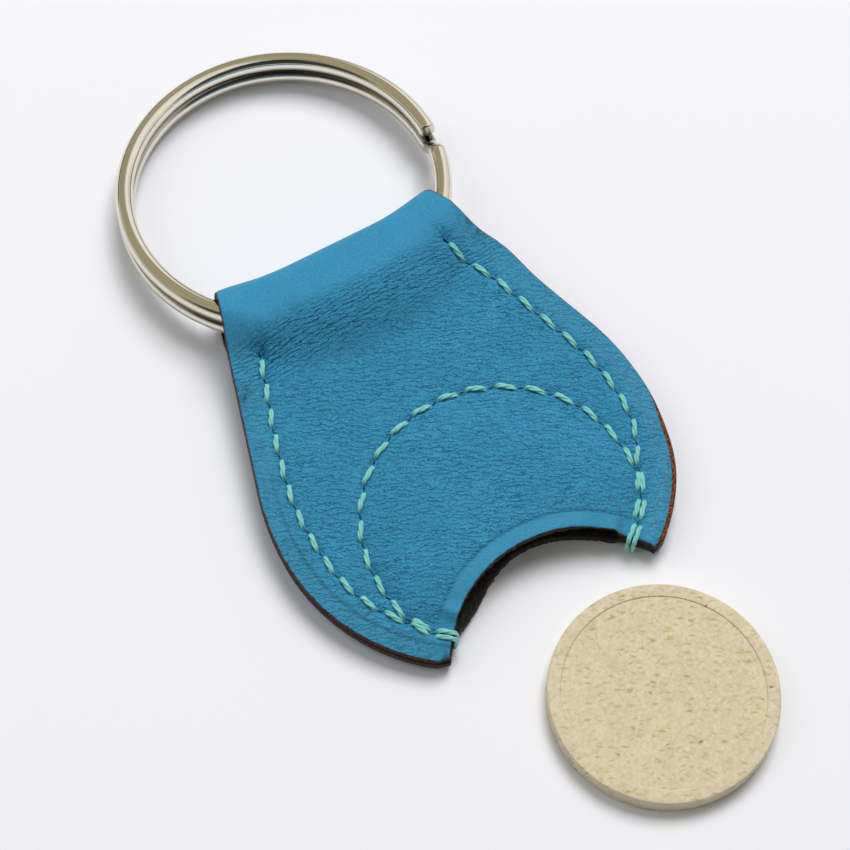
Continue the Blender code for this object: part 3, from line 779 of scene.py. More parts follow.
def wrap_over(plan, stitch, reach, in_front):
    """The last stitch turns over the edge of the notch and comes back on the other face."""
    x, y = plan(stitch)
    end_x, end_y = plan(stitch + reach)
    out_x, out_y = end_x - x, end_y - y
    front, back = [], []
    for share in WRAP_SHARES:
        px, py = x + out_x * share, y + out_y * share
        dive = (1 - min(share / 0.3, 1)) ** 2
        drop = 0.12 * max(share - 0.8, 0) / 0.15
        above = height_at("front", px, py) + WRAP_RISE - dive - drop
        below = height_at("back", px, py) - WRAP_RISE + dive + drop
        front.append((px, py, above, WRAP_SWELL))
        back.append((px, py, below, WRAP_SWELL))
    middle = (front[-1][2] + back[-1][2]) / 2
    turn = [
        (end_x + out_x * 0.04, end_y + out_y * 0.04, middle + rise, WRAP_SWELL)
        for rise in (0.75, 0.0, -0.75)
    ]
    if in_front:
        return front + turn + back[::-1]
    return back + turn[::-1] + front[::-1]


def smooth_path(points, step):
    """A Catmull-Rom line through the points, read off at even steps."""
    knots = np.array([points[0], *points, points[-1]])
    fine = []
    for a, b, c, d in zip(knots, knots[1:], knots[2:], knots[3:]):
        for t in (0, 0.25, 0.5, 0.75):
            bend = (2 * a - 5 * b + 4 * c - d) * t**2 + (3 * b - a - 3 * c + d) * t**3
            fine.append(0.5 * (2 * b + (c - a) * t + bend))
    fine = np.array([*fine, knots[-1]])
    lengths = np.linalg.norm(np.diff(fine[:, :3], axis=0), axis=1)
    run = np.concatenate([[0], np.cumsum(lengths)])
    stops = np.linspace(0, run[-1], max(2, int(run[-1] / step)))
    return np.column_stack([np.interp(stops, run, fine[:, i]) for i in range(4)]), stops


def unit_rows(vectors):
    return vectors / np.maximum(np.linalg.norm(vectors, axis=1), 1e-9)[:, None]


def sweep(centres, radii, sides):
    """Points and faces of a tube round a line, closed at both ends."""
    tangents = unit_rows(np.gradient(centres, axis=0))
    normal = np.cross(tangents[0], (0.3, 0.2, 0.93))
    points, faces = [], []
    for centre, tangent, radius in zip(centres, tangents, radii):
        normal = normal - tangent * (normal @ tangent)
        normal /= np.linalg.norm(normal)
        other = np.cross(tangent, normal)
        turns = [2 * math.pi * i / sides for i in range(sides)]
        points += [centre + radius * (math.cos(t) * normal + math.sin(t) * other) for t in turns]
    for row in range(len(centres) - 1):
        for i in range(sides):
            a, b = row * sides + i, row * sides + (i + 1) % sides
            faces.append((a, b, b + sides, a + sides))
    last = (len(centres) - 1) * sides
    faces.append(tuple(range(sides))[::-1])
    faces.append(tuple(last + i for i in range(sides)))
    return points, faces


def wound_plies(centres, swell, run, start):
    """The middle line of each ply, wound round the thread's own line."""
    tangents = unit_rows(np.gradient(centres, axis=0))
    side = np.cross(tangents, (0.0, 0.0, 1.0))
    side[np.linalg.norm(side, axis=1) < 0.2] = (1, 0, 0)
    side = unit_rows(side)
    above = np.cross(side, tangents)
    for ply in range(PLIES):
        turn = 2 * math.pi * (run / TWIST_LENGTH + ply / PLIES) + start
        orbit = np.cos(turn)[:, None] * side * ORBIT_WIDE
        orbit = orbit + np.sin(turn)[:, None] * above * ORBIT_TALL
        yield centres + PLY_ORBIT * swell[:, None] * orbit


def make_thread(name, lines):
    """A waxed thread of twisted plies, laid along each line of the seam."""
    points, faces, yarn = [], [], []
    for number, line in enumerate(lines):
        path, run = smooth_path(line, PATH_STEP)
        centres, swell = path[:, :3], path[:, 3]
        for ply, middles in enumerate(wound_plies(centres, swell, run, number)):
            rings, quads = sweep(middles, PLY_RADIUS * swell, PLY_SIDES)
            base = len(points)
            points += rings
            faces += [tuple(base + i for i in quad) for quad in quads]
            for i, place in enumerate(np.repeat(run, PLY_SIDES)):
                yarn.append((place, i % PLY_SIDES / PLY_SIDES, ply + PLIES * number))
    mesh = bpy.data.meshes.new(name)
    mesh.from_pydata([tuple(point * MM) for point in points], [], faces)
    piece = add_object(name, mesh)
    store(piece, "yarn", yarn)
    mesh.shade_smooth()
    return piece


def edge_lines(side):
    """Both lines of an edge seam, with the backstitch and its turn over the notch."""
    joined = JOINED_STITCHES[side]

    def outer(stitch):
        beyond = float(ease(joined, joined + 1, stitch))
        return edge_point(side, stitch, STRAND_OFFSET * beyond)

    def inner(stitch):
        return edge_point(side, stitch, -STRAND_OFFSET)

    outer_wrap, inner_wrap = notch_reach(side, STRAND_OFFSET), notch_reach(side, -STRAND_OFFSET)
    back = EDGE_STITCHES - joined
    return [
        seam_line(outer, 0, EDGE_STITCHES, True, outer_wrap),
        seam_line(outer, 0, EDGE_STITCHES, False),
        seam_line(inner, joined, back, True, inner_wrap),
        seam_line(inner, joined, back, False),
    ]


def make_threads():
    pocket = [seam_line(pocket_point, 0, POCKET_STITCHES, front) for front in (True, False)]
    return [
        make_thread("right_seam", edge_lines(1)),
        make_thread("left_seam", edge_lines(-1)),
        make_thread("pocket_seam", pocket),
    ]


# Split ring

WIRE_STEPS = 180
WIRE_SIDES = 20
WIRE_SQUARENESS = 0.94
WIRE_END_ROUND = 0.36
JOG_TURN = JOG_HALF_LENGTH / WIRE_RADIUS
END_TURN = JOG_END_GAP / WIRE_RADIUS
WIRE_TURN = 4 * math.pi - 2 * JOG_TURN - 2 * END_TURN


def make_wire_section():
    """The wire's section, a circle at its radius that is squared a little."""
    deselect()
    bpy.ops.mesh.primitive_circle_add(
        vertices=WIRE_SIDES,
        radius=WIRE_WIDTH / 2 * MM,
        fill_type="NGON",
        location=(WIRE_RADIUS * MM, 0, 0),
        rotation=(math.pi / 2, 0, 0),
    )
    piece = named("split_ring_wire")
    bpy.ops.object.transform_apply(location=True, rotation=True, scale=True)
    section = read_points(piece) / MM
    turn = np.arctan2(section[:, 2], section[:, 0] - WIRE_RADIUS)
    across = signed_power(np.cos(turn), WIRE_SQUARENESS)
    section[:, 0] = WIRE_RADIUS + across * WIRE_WIDTH / 2
    section[:, 2] = signed_power(np.sin(turn), WIRE_SQUARENESS) * WIRE_HEIGHT / 2
    write_points(piece, section * MM)
    return piece


def lift_wire(piece):
    """Lifts the spun wire from its first coil to its second by the jog, and leans the ring."""
    points = read_points(piece) / MM
    step = np.arange(len(points)) // WIRE_SIDES
    turn = END_TURN + WIRE_TURN * step / (2 * WIRE_STEPS)
    rise = ease(2 * math.pi - 2 * JOG_TURN, 2 * math.pi, turn)
    points[:, 2] += (WIRE_HEIGHT + COIL_GAP) * (rise - 0.5)
    radius = np.hypot(points[:, 0], points[:, 1])
    angle = JOG_ANGLE - JOG_TURN - turn
    points[:, 0], points[:, 1] = radius * np.cos(angle), radius * np.sin(angle)
    store(piece, "shade", ease(0.60, 0.12, np.abs(points[:, 2])) * (1 - 4 * rise * (1 - rise)))
    place = Matrix.Translation((0, RING_Y, RING_Z)) @ Matrix.Rotation(-RING_TILT, 4, "X")
    placed = points @ np.array(place.to_3x3()).T + np.array(place.translation)
    write_points(piece, placed * MM)


def make_ring():
    """One wire, spun twice round the ring's axis."""
    piece = make_wire_section()
    edit_all()
    bpy.ops.mesh.spin(steps=2 * WIRE_STEPS, angle=WIRE_TURN, center=(0, 0, 0), axis=(0, 0, 1))
    mode("OBJECT")
    lift_wire(piece)
    edit_all()
    bpy.ops.mesh.normals_make_consistent(inside=False)
    mode("OBJECT")
    ends = {key for p in piece.data.polygons if len(p.vertices) > 4 for key in p.edge_keys}
    round_edges(piece, [edge.key in ends for edge in piece.data.edges], WIRE_END_ROUND, 4)
    bpy.ops.object.shade_smooth_by_angle(angle=math.radians(50))
    return piece


# Trolley coin

COIN_SIDES = 160
COIN_STEP = 0.10
COIN_FLOOR_EDGE = 0.25
COIN_EDGE_ROUND = 0.18


def make_coin():
    deselect()
    bpy.ops.mesh.primitive_cylinder_add(
        vertices=COIN_SIDES,
        radius=COIN_RADIUS * MM,
        depth=COIN_THICKNESS * MM,
        end_fill_type="NGON",
        location=(COIN_PLACE[0] * MM, COIN_PLACE[1] * MM, COIN_THICKNESS / 2 * MM),
    )
    piece = named("coin_disc")
    bpy.ops.object.transform_apply(location=True, rotation=True, scale=True)
    for side in (1, -1):
        pick(piece, "FACE", [p.normal.z * side > 0.9 for p in piece.data.polygons])
        bpy.ops.mesh.inset(thickness=COIN_RIM * MM, depth=0)
        bpy.ops.mesh.inset(thickness=COIN_STEP * MM, depth=-COIN_RECESS * MM)
        bpy.ops.mesh.inset(thickness=COIN_FLOOR_EDGE * MM, depth=0)
        mode("OBJECT")
    points = read_points(piece) / MM - (*COIN_PLACE, 0)
    on_rim = np.hypot(points[:, 0], points[:, 1]) > COIN_RADIUS - 0.01
    level = [abs(np.diff(points[list(edge.vertices), 2])[0]) < 1e-3 for edge in piece.data.edges]
    outer = [on_rim[list(edge.vertices)].all() for edge in piece.data.edges]
    round_edges(piece, np.logical_and(level, outer), COIN_EDGE_ROUND, 4)
    bpy.ops.object.shade_smooth_by_angle(angle=math.radians(32))
    points = read_points(piece) / MM - (*COIN_PLACE, 0)
    radius = np.maximum(np.hypot(points[:, 0], points[:, 1]), 1e-6)
    down = np.where(radius > COIN_RADIUS - 0.3, COIN_THICKNESS - points[:, 2], 0)
    stretch = (radius + down) / radius
    skin = [points[:, 0] * stretch, points[:, 1] * stretch, points[:, 2]]
    store(piece, "skin", np.column_stack(skin))
    return piece


# Shading


def rgb(red, green, blue):
    """A display colour, 0 to 255, as the shader's linear one."""
    values = []
    for value in (red, green, blue):
        value /= 255
        values.append(value / 12.92 if value <= 0.04045 else ((value + 0.055) / 1.055) ** 2.4)
    return (*values, 1)


LEATHER_BLUE = rgb(63, 151, 193)
# Deep blue for the calm parts, and the painted shade in the furrows
LEATHER_DEEP_AND_SHADE = rgb(23, 80, 115)
LEATHER_RUBBED = rgb(72, 150, 184)
LEATHER_PALE = rgb(78, 154, 186)
LEATHER_DUST = rgb(168, 196, 204)
LEATHER_SCUFF = rgb(38, 32, 33)
# Painted shade inside the holes' slits
HOLE_SHADE = rgb(6, 18, 26)
THREAD_MINT = rgb(141, 217, 209)
THREAD_SHADE = rgb(64, 152, 142)
NICKEL = rgb(228, 221, 206)
NICKEL_SHADE = rgb(34, 31, 25)
COIN_BEIGE = rgb(216, 203, 174)
COIN_STRAND = rgb(186, 170, 128)
TABLE_WHITE = rgb(242, 243, 250)


class Net:
    """Adds and joins the nodes of one material, group or world."""

    def __init__(self, tree):
        self.tree = tree

    def feed(self, socket, value):
        """Joins another node's output to a socket, or sets the socket to a plain value."""
        if isinstance(value, bpy.types.NodeSocket):
            self.tree.links.new(value, socket)
        else:
            socket.default_value = value

    def add(self, kind, inputs=None, **settings):
        made = self.tree.nodes.new(kind)
        for key, value in settings.items():
            setattr(made, key, value)
        for key, value in (inputs or {}).items():
            self.feed(made.inputs[key], value)
        return made

    def math(self, operation, *values, clamp=False):
        inputs = dict(enumerate(values))
        return self.add("ShaderNodeMath", inputs, operation=operation, use_clamp=clamp).outputs[0]

    def plus(self, *values, clamp=False):
        return self.math("ADD", *values, clamp=clamp)

    def minus(self, *values):
        return self.math("SUBTRACT", *values)

    def times(self, *values):
        """The product of two or more values."""
        product = values[0]
        for value in values[1:]:
            product = self.math("MULTIPLY", product, value)
        return product

    def over(self, *values):
        return self.math("DIVIDE", *values)

    def inverse(self, value):
        return self.minus(1.0, value)

    def falling(self, value, low, high):
        """1 below low and 0 above high."""
        return self.inverse(self.range(value, low, high))

    def vector(self, operation, *values, output=0):
        inputs = dict(enumerate(values))
        return self.add("ShaderNodeVectorMath", inputs, operation=operation).outputs[output]

    def scaled(self, vector, factor):
        inputs = {0: vector, 3: factor}
        return self.add("ShaderNodeVectorMath", inputs, operation="SCALE").outputs[0]

    def turned(self, vector, angle):
        inputs = {"Vector": vector, "Angle": angle}
        return self.add("ShaderNodeVectorRotate", inputs, rotation_type="Z_AXIS").outputs[0]

    def split(self, vector):
        return self.add("ShaderNodeSeparateXYZ", {0: vector}).outputs

    def joined(self, x, y, z):
        return self.add("ShaderNodeCombineXYZ", {0: x, 1: y, 2: z}).outputs[0]

    def range(self, value, low, high, to_low=0.0, to_high=1.0, smooth=True):
        """The value's place between low and high, taken to the same place in the second range."""
        inputs = {0: value, 1: low, 2: high, 3: to_low, 4: to_high}
        kind = "SMOOTHSTEP" if smooth else "LINEAR"
        return self.add("ShaderNodeMapRange", inputs, interpolation_type=kind).outputs[0]

    def bell(self, value, centre, width):
        """1 where the value is at the centre, falling to 0 at twice the width from it."""
        off = self.math("ABSOLUTE", self.minus(value, centre))
        return self.falling(off, 0.0, 2 * width)

    def mix(self, share, first, second, blend="MIX"):
        inputs = {0: share, 6: first, 7: second}
        return self.add("ShaderNodeMix", inputs, data_type="RGBA", blend_type=blend).outputs[2]

    def object_millimetres(self):
        return self.scaled(self.add("ShaderNodeTexCoord").outputs["Object"], 1 / MM)

    def attribute(self, name, output="Fac"):
        return self.add("ShaderNodeAttribute", attribute_name=name).outputs[output]

    def noise(self, vector, scale, detail=2.0, roughness=0.5, output=0):
        inputs = {"Vector": vector, "Scale": scale, "Detail": detail, "Roughness": roughness}
        return self.add("ShaderNodeTexNoise", inputs).outputs[output]

    def group(self, tree, **inputs):
        return self.add("ShaderNodeGroup", inputs, node_tree=tree).outputs

    def mottled(self, vector, colour, size, strength):
        return self.group(MOTTLING, Vector=vector, Colour=colour, Size=size, Strength=strength)[0]


SOCKET_KINDS = {"Vector": "NodeSocketVector", "Colour": "NodeSocketColor"}


def new_group(name, outputs, **inputs):
    """A shader group with named sockets: its net, its inputs and its output sockets."""
    tree = bpy.data.node_groups.new(name, "ShaderNodeTree")
    for way, titles in (("INPUT", inputs), ("OUTPUT", outputs)):
        for title in titles:
            kind = SOCKET_KINDS.get(title, "NodeSocketFloat")
            socket = tree.interface.new_socket(title, in_out=way, socket_type=kind)
            if way == "INPUT" and inputs[title] is not None:
                socket.default_value = inputs[title]
    net = Net(tree)
    return net, net.add("NodeGroupInput").outputs, net.add("NodeGroupOutput").inputs


def new_material(name):
    made = bpy.data.materials.new(name)
    made.use_nodes = True
    return made, Net(made.node_tree), made.node_tree.nodes["Principled BSDF"]


def finish(net, shader, colour, roughness, height):
    """Gives a material's shader its colour, its gloss and its relief in millimetres."""
    net.feed(shader.inputs["Base Color"], colour)
    net.feed(shader.inputs["Roughness"], roughness)
    bump = net.add("ShaderNodeBump", {"Height": height, "Distance": MM})
    net.feed(shader.inputs["Normal"], bump.outputs[0])


def mottling_group():
    """Soft cloudy change of tone, round the colour that it is given."""
    sockets = {"Vector": None, "Colour": None, "Size": 1.0, "Strength": 0.1}
    net, given, out = new_group("soft mottling", ["Colour"], **sockets)
    cloud = net.noise(given["Vector"], net.over(1.0, given["Size"]), detail=3.0, roughness=0.6)
    change = net.times(net.minus(cloud, 0.5), given["Strength"])
    factor = net.plus(1.0, net.times(change, 4.0))
    tone = net.add("ShaderNodeCombineColor", {0: factor, 1: factor, 2: factor}).outputs[0]
    net.feed(out["Colour"], net.mix(1.0, given["Colour"], tone, "MULTIPLY"))
    return net.tree


def grain_group():
    """Pebbled cells with fine furrows between them: 1 between the cells, 0 on a pebble."""
    sockets = {"Vector": None, "Size": 0.35, "Waver": 0.15}
    net, given, out = new_group("pebbled grain", ["Furrow"], **sockets)
    wobble = net.noise(given["Vector"], 2.4, output=1)
    wobble = net.vector("SUBTRACT", wobble, (0.5, 0.5, 0.5))
    moved = net.vector("ADD", given["Vector"], net.scaled(wobble, given["Waver"]))
    inputs = {"Vector": moved, "Scale": net.over(1.0, given["Size"])}
    edge = net.add("ShaderNodeTexVoronoi", inputs, feature="DISTANCE_TO_EDGE").outputs["Distance"]
    net.feed(out["Furrow"], net.falling(edge, 0.0, 0.24))
    return net.tree


def crease_group():
    """Fine wavy creases side by side, broken here and there: 1 in a crease."""
    sockets = {"Vector": None, "Angle": 0.0, "Spacing": 0.5, "Waver": 1.0}
    sockets |= {"Breaks": 0.5, "Width": 0.12}
    net, given, out = new_group("wavy creases", ["Furrow"], **sockets)
    layers = []
    for number, lean in enumerate((0.0, 0.30)):
        turned = net.turned(given["Vector"], net.plus(given["Angle"], lean))
        place = net.split(turned)
        drawn = net.joined(net.times(place[0], 0.55), net.times(place[1], 1.1), 9.0 * number)
        wave = net.minus(net.noise(drawn, 1.0, 3.0, 0.6), 0.5)
        level = net.plus(place[1], net.times(wave, given["Waver"]))
        off = net.math("PINGPONG", net.over(level, given["Spacing"]), 0.5)
        line = net.falling(off, net.times(given["Width"], 0.3), given["Width"])
        x = net.over(place[0], net.times(given["Spacing"], 2.6))
        y = net.over(place[1], net.times(given["Spacing"], 0.8))
        drawn = net.joined(x, y, 9.0 * number + 4.0)
        there = net.minus(net.noise(drawn, 1.0, 1.0), given["Breaks"])
        layers.append(net.times(line, net.range(there, -0.05, 0.07)))
    net.feed(out["Furrow"], net.math("MAXIMUM", layers[0], net.times(layers[1], 0.75)))
    return net.tree


def fibre_group():
    """Fine fibres along the vector's first axis: tone from 0 to 1 and height in millimetres."""
    sockets = {"Vector": None, "Size": 0.1, "Length": 1.0, "Depth": 0.02}
    net, given, out = new_group("fine fibres", ["Tone", "Height"], **sockets)
    parts = net.split(given["Vector"])
    x = net.over(parts[0], given["Length"])
    y, z = net.over(parts[1], given["Size"]), net.over(parts[2], given["Size"])
    tone = net.noise(net.joined(x, y, z), 1.0, detail=3.0, roughness=0.65)
    net.feed(out["Tone"], tone)
    net.feed(out["Height"], net.times(net.minus(tone, 0.5), given["Depth"]))
    return net.tree


def fleck_group():
    """Scattered short flecks that all lie one way: 1 on a fleck."""
    sockets = {"Vector": None, "Angle": 0.0, "Spacing": 1.0, "Width": 0.1}
    sockets |= {"Length": 3.0, "Share": 0.3}
    net, given, out = new_group("scattered flecks", ["Fleck"], **sockets)
    spacing = given["Spacing"]
    bent = net.vector("SUBTRACT", net.noise(given["Vector"], 1.2, 1.0, output=1), (0.5, 0.5, 0.5))
    moved = net.vector("ADD", given["Vector"], net.scaled(bent, 0.5))
    place = net.split(net.turned(moved, given["Angle"]))
    x = net.over(net.over(place[0], given["Length"]), spacing)
    drawn = net.joined(x, net.over(place[1], spacing), net.over(place[2], spacing))
    inputs = {"Vector": drawn, "Scale": 1.0}
    cell = net.add("ShaderNodeTexVoronoi", inputs, voronoi_dimensions="2D", feature="F1").outputs
    lot = net.add("ShaderNodeSeparateColor", {0: cell["Color"]}).outputs[0]
    chosen = net.math("LESS_THAN", lot, given["Share"])
    near = net.over(cell["Distance"], net.over(given["Width"], spacing))
    net.feed(out["Fleck"], net.times(net.falling(near, 0.1, 1.5), chosen))
    return net.tree


MOTTLING = mottling_group()
GRAIN = grain_group()
CREASES = crease_group()
FIBRES = fibre_group()
FLECKS = fleck_group()


def leather_places(net):
    """Where a point of the strap lies, and how near to its edges, its belt and its calm parts."""
    strap = net.attribute("strap", "Vector")
    place = net.split(strap)
    notch = net.attribute("notch_inset")
    band = net.falling(notch, 1.4, 2.1)
    calm = net.math("MAXIMUM", net.attribute("calm"), net.times(band, 0.75))
    return SimpleNamespace(
        strap=strap,
        x=place[0],
        length=place[1],
        depth=net.attribute("depth"),
        side=net.attribute("side_inset"),
        notch=notch,
        belt=net.attribute("belt"),
        band=band,
        middle=net.falling(net.math("ABSOLUTE", place[0]), 9.5, 11.5),
        calm=calm,
        lively=net.inverse(calm),
        on_right=net.range(place[0], -2.0, 2.0),
    )


def leather_creases(net, at):
    """Creases that slant over the panel, and those that lie level in the belt above it."""
    slant, level = math.radians(25), math.radians(-3)
    patchy = net.range(net.noise(at.strap, 0.25), 0.34, 0.62, 0.72, 1.0)
    panel = net.group(CREASES, Vector=at.strap, Angle=slant, Spacing=0.52, Waver=1.7, Breaks=0.41)
    folds = net.group(CREASES, Vector=at.strap, Angle=level, Spacing=0.44, Waver=0.9, Breaks=0.42)
    panel = net.times(panel[0], patchy, at.lively, net.inverse(at.belt))
    return panel, net.times(folds[0], at.belt)


def pressed_lines(net, at):
    """The lines pressed beside the notch and, low down, beside the sides."""
    low = net.falling(at.length, -24.0, -15.0)
    faint_right = net.range(at.on_right, 0.0, 1.0, 1.0, 0.25)
    by_side = net.times(net.bell(at.side, 1.65, 0.17), low, faint_right)
    patchy = net.range(net.noise(at.strap, 0.5, 3.0), 0.3, 0.6, 0.4, 1.0)
    by_notch = net.times(net.bell(at.notch, 1.8, 0.16), at.middle, patchy)
    return net.math("MAXIMUM", by_notch, by_side)


def calmed(net, at, lively, calm):
    """One value where the leather is lively, and another where it is calm."""
    return net.range(at.calm, 0.0, 1.0, lively, calm)


def leather_relief(net, at, panel, folds, pebble, pressed):
    """Height of the grain in millimetres, shallower where the leather is calm."""
    pebble_depth = calmed(net, at, 0.034, 0.010)
    fine_depth = calmed(net, at, 0.12, 0.022)
    fine = net.minus(net.noise(at.strap, 4.2, 3.0, 0.65), 0.5)
    height = net.plus(net.times(panel, -0.060), net.times(folds, -0.075))
    height = net.minus(height, net.times(pebble, pebble_depth))
    height = net.plus(height, net.times(fine, fine_depth))
    return net.minus(height, net.times(pressed, 0.06))


def leather_dye_and_shade(net, at, furrow_shade):
    """Blue dye, a little deeper where the leather is calm, with painted shade in the furrows, and
    paler where the leather is rubbed or dusty.
    """
    blue = net.mottled(at.strap, LEATHER_BLUE, 5.0, 0.06)
    blue = net.mottled(at.strap, blue, 0.24, calmed(net, at, 0.36, 0.16))
    blue = net.mix(net.times(at.calm, 0.10), blue, LEATHER_DEEP_AND_SHADE)
    # Painted shade: the furrows are darkened towards deep blue
    blue = net.mix(furrow_shade, blue, LEATHER_DEEP_AND_SHADE)
    blue = net.mix(net.times(at.band, at.middle, 0.3), blue, LEATHER_RUBBED)
    outside = net.falling(at.side, 1.8, 3.0)
    blue = net.mix(net.times(outside, at.lively, 0.30), blue, LEATHER_PALE)
    dust = net.range(net.noise(at.strap, 3.5, 4.0, 0.7), 0.48, 0.70)
    low = net.falling(at.length, -26.0, -20.0)
    dust = net.times(dust, net.bell(at.side, 1.5, 0.40), at.on_right, low)
    return net.mix(net.times(dust, 0.30), blue, LEATHER_DUST)


def burnished(net, at):
    """1 along the burnished rim of the face, which is wider by the right tip."""
    ragged = net.times(net.minus(net.noise(at.strap, 1.6, 4.0, 0.7), 0.5), 0.35)
    by_tip = net.falling(at.length, -33.0, -27.0)
    reach = net.plus(net.times(by_tip, at.on_right, 0.40), 0.10)
    by_side = net.range(net.minus(net.plus(reach, ragged), at.side), -0.08, 0.08)
    by_notch = net.range(net.minus(net.plus(0.08, ragged), at.notch), -0.08, 0.08)
    return net.math("MAXIMUM", by_side, by_notch)


def scuffed(net, at):
    """1 in the dark scuffs near the border."""
    border = net.math("MINIMUM", at.side, at.notch)
    scuff = net.times(net.attribute("scuff"), net.falling(border, 0.3, 2.2))
    return net.times(scuff, net.range(net.noise(at.strap, 1.1, 5.0, 0.75), 0.42, 0.56))


def cut_colours(net, at, tone):
    """Colours of the burnt cut edge, lighter on the right half and darker by the notch's mouth, and
    of the leather's inner face, painted dark as shade, from the tone of their fibres.
    """
    light = net.mix(at.on_right, rgb(96, 66, 50), rgb(142, 92, 66))
    mouth = net.falling(at.notch, 0.5, 1.0)
    burnt = net.mix(tone, rgb(30, 21, 19), net.mix(mouth, light, rgb(60, 44, 35)))
    dyed = net.range(net.noise(at.strap, 1.4, 3.0), 0.50, 0.60)
    # The leather's inner face, painted near black as shade inside the pocket
    flesh_in_shade = net.mix(tone, rgb(14, 12, 11), rgb(66, 58, 46))
    return burnt, net.mix(net.times(dyed, 0.6), flesh_in_shade, rgb(20, 54, 58))


def leather_material():
    made, net, shader = new_material("blue leather")
    at = leather_places(net)
    panel, folds = leather_creases(net, at)
    pebble = net.group(GRAIN, Vector=at.strap, Size=0.26, Waver=0.12)[0]
    pressed = pressed_lines(net, at)
    # Painted shade in the belt's folds, strong on the left half and weaker on the right
    fold_shade = net.range(at.x, -4.0, 9.0, 0.90, 0.60)
    # Furrows that get painted shade: creases, belt folds, pebble edges and pressed lines; they are
    # also rougher
    furrow_shade = net.plus(net.times(panel, 0.60), net.times(folds, fold_shade))
    furrow_shade = net.plus(furrow_shade, net.times(pebble, 0.17))
    furrow_shade = net.plus(furrow_shade, net.times(pressed, 0.40), clamp=True)

    drawn = net.vector("MULTIPLY", at.strap, (1.0, 1.0, 3.0))
    fibre = net.group(FIBRES, Vector=drawn, Size=0.20, Length=0.35, Depth=0.09)
    burnt, flesh_in_shade = cut_colours(net, at, net.range(fibre["Tone"], 0.36, 0.66))
    burnish = burnished(net, at)
    cut = net.range(at.depth, 0.04, 0.20)
    colour = net.mix(burnish, leather_dye_and_shade(net, at, furrow_shade), burnt)
    colour = net.mix(net.times(scuffed(net, at), 0.85), colour, LEATHER_SCUFF)
    # Painted shade in each hole's slanted slit
    colour = net.mix(net.times(net.attribute("hole"), 0.95), colour, HOLE_SHADE)
    colour = net.mix(cut, colour, burnt)
    # The inner face: painted shade, with teal fibres
    colour = net.mix(net.range(at.depth, 0.92, 0.995), colour, flesh_in_shade)

    frayed = net.math("MAXIMUM", cut, burnish)
    height = leather_relief(net, at, panel, folds, pebble, pressed)
    height = net.times(height, net.inverse(frayed))
    height = net.plus(height, net.times(fibre["Height"], frayed))
    gloss = net.plus(net.range(furrow_shade, 0.0, 0.6, 0.50, 0.64), net.times(frayed, 0.12))
    finish(net, shader, colour, gloss, height)
    shader.inputs["Specular IOR Level"].default_value = 0.20
    return made


def thread_material():
    made, net, shader = new_material("mint waxed thread")
    yarn = net.attribute("yarn", "Vector")
    fibre = net.group(FIBRES, Vector=yarn, Size=0.14, Length=0.8, Depth=0.02)
    shade = net.range(fibre["Tone"], 0.32, 0.62)
    mint = net.mottled(net.object_millimetres(), THREAD_MINT, 3.0, 0.08)
    mint = net.mix(shade, net.mix(0.35, mint, THREAD_SHADE), mint)
    gloss = net.range(shade, 0.0, 1.0, 0.55, 0.40)
    finish(net, shader, mint, gloss, fibre["Height"])
    shader.inputs["Specular IOR Level"].default_value = 0.5
    return made


def nickel_material():
    made, net, shader = new_material("polished nickel")
    place = net.object_millimetres()
    scratch = net.group(FIBRES, Vector=place, Size=0.05, Length=2.5, Depth=0.0015)
    nickel = net.mottled(place, NICKEL, 6.0, 0.03)
    nickel = net.mix(net.times(net.attribute("shade"), 0.85), nickel, NICKEL_SHADE)
    gloss = net.range(scratch["Tone"], 0.4, 0.7, 0.06, 0.15)
    finish(net, shader, nickel, gloss, scratch["Height"])
    shader.inputs["Metallic"].default_value = 1.0
    return made


# Flecks of the coin: angle, spacing, width, length, share of cells, colour, strength
COIN_FLECKS = (
    (20, 0.60, 0.100, 3.4, 0.34, (186, 154, 92), 0.52),
    (48, 0.80, 0.120, 3.0, 0.30, (192, 160, 96), 0.58),
    (125, 0.62, 0.085, 2.4, 0.24, (174, 150, 106), 0.42),
    (0, 0.74, 0.105, 3.4, 0.32, (178, 160, 116), 0.50),
    (35, 0.90, 0.130, 2.8, 0.30, (188, 150, 82), 0.60),
    (80, 0.80, 0.110, 2.2, 0.22, (166, 154, 130), 0.42),
    (30, 1.30, 0.150, 2.4, 0.24, (176, 134, 70), 0.62),
    (60, 1.70, 0.150, 2.0, 0.18, (140, 108, 76), 0.55),
    (10, 2.00, 0.130, 2.4, 0.14, (124, 118, 126), 0.58),
    (150, 2.90, 0.150, 1.5, 0.12, (96, 62, 58), 0.75),
)


def coin_material():
    made, net, shader = new_material("speckled bioplastic")
    place = net.attribute("skin", "Vector")
    beige = net.mottled(place, COIN_BEIGE, 1.4, 0.09)
    beige = net.mottled(place, beige, 0.40, 0.13)
    strands = net.group(FIBRES, Vector=place, Size=0.16, Length=0.6, Depth=0.01)["Tone"]
    beige = net.mix(net.range(strands, 0.50, 0.75, 0.0, 0.35), beige, COIN_STRAND)
    for number, (angle, *measures, tint, strength) in enumerate(COIN_FLECKS):
        moved = net.vector("ADD", place, (3.7 * number, 1.9 * number, 0.0))
        inputs = dict(zip(("Spacing", "Width", "Length", "Share"), measures))
        fleck = net.group(FLECKS, Vector=moved, Angle=math.radians(angle), **inputs)[0]
        beige = net.mix(net.times(fleck, strength), beige, rgb(*tint))
    skin = net.noise(place, 3.0, 3.0)
    gloss = net.range(skin, 0.3, 0.7, 0.42, 0.55)
    finish(net, shader, beige, gloss, net.times(skin, 0.012))
    shader.inputs["Specular IOR Level"].default_value = 0.35
    return made


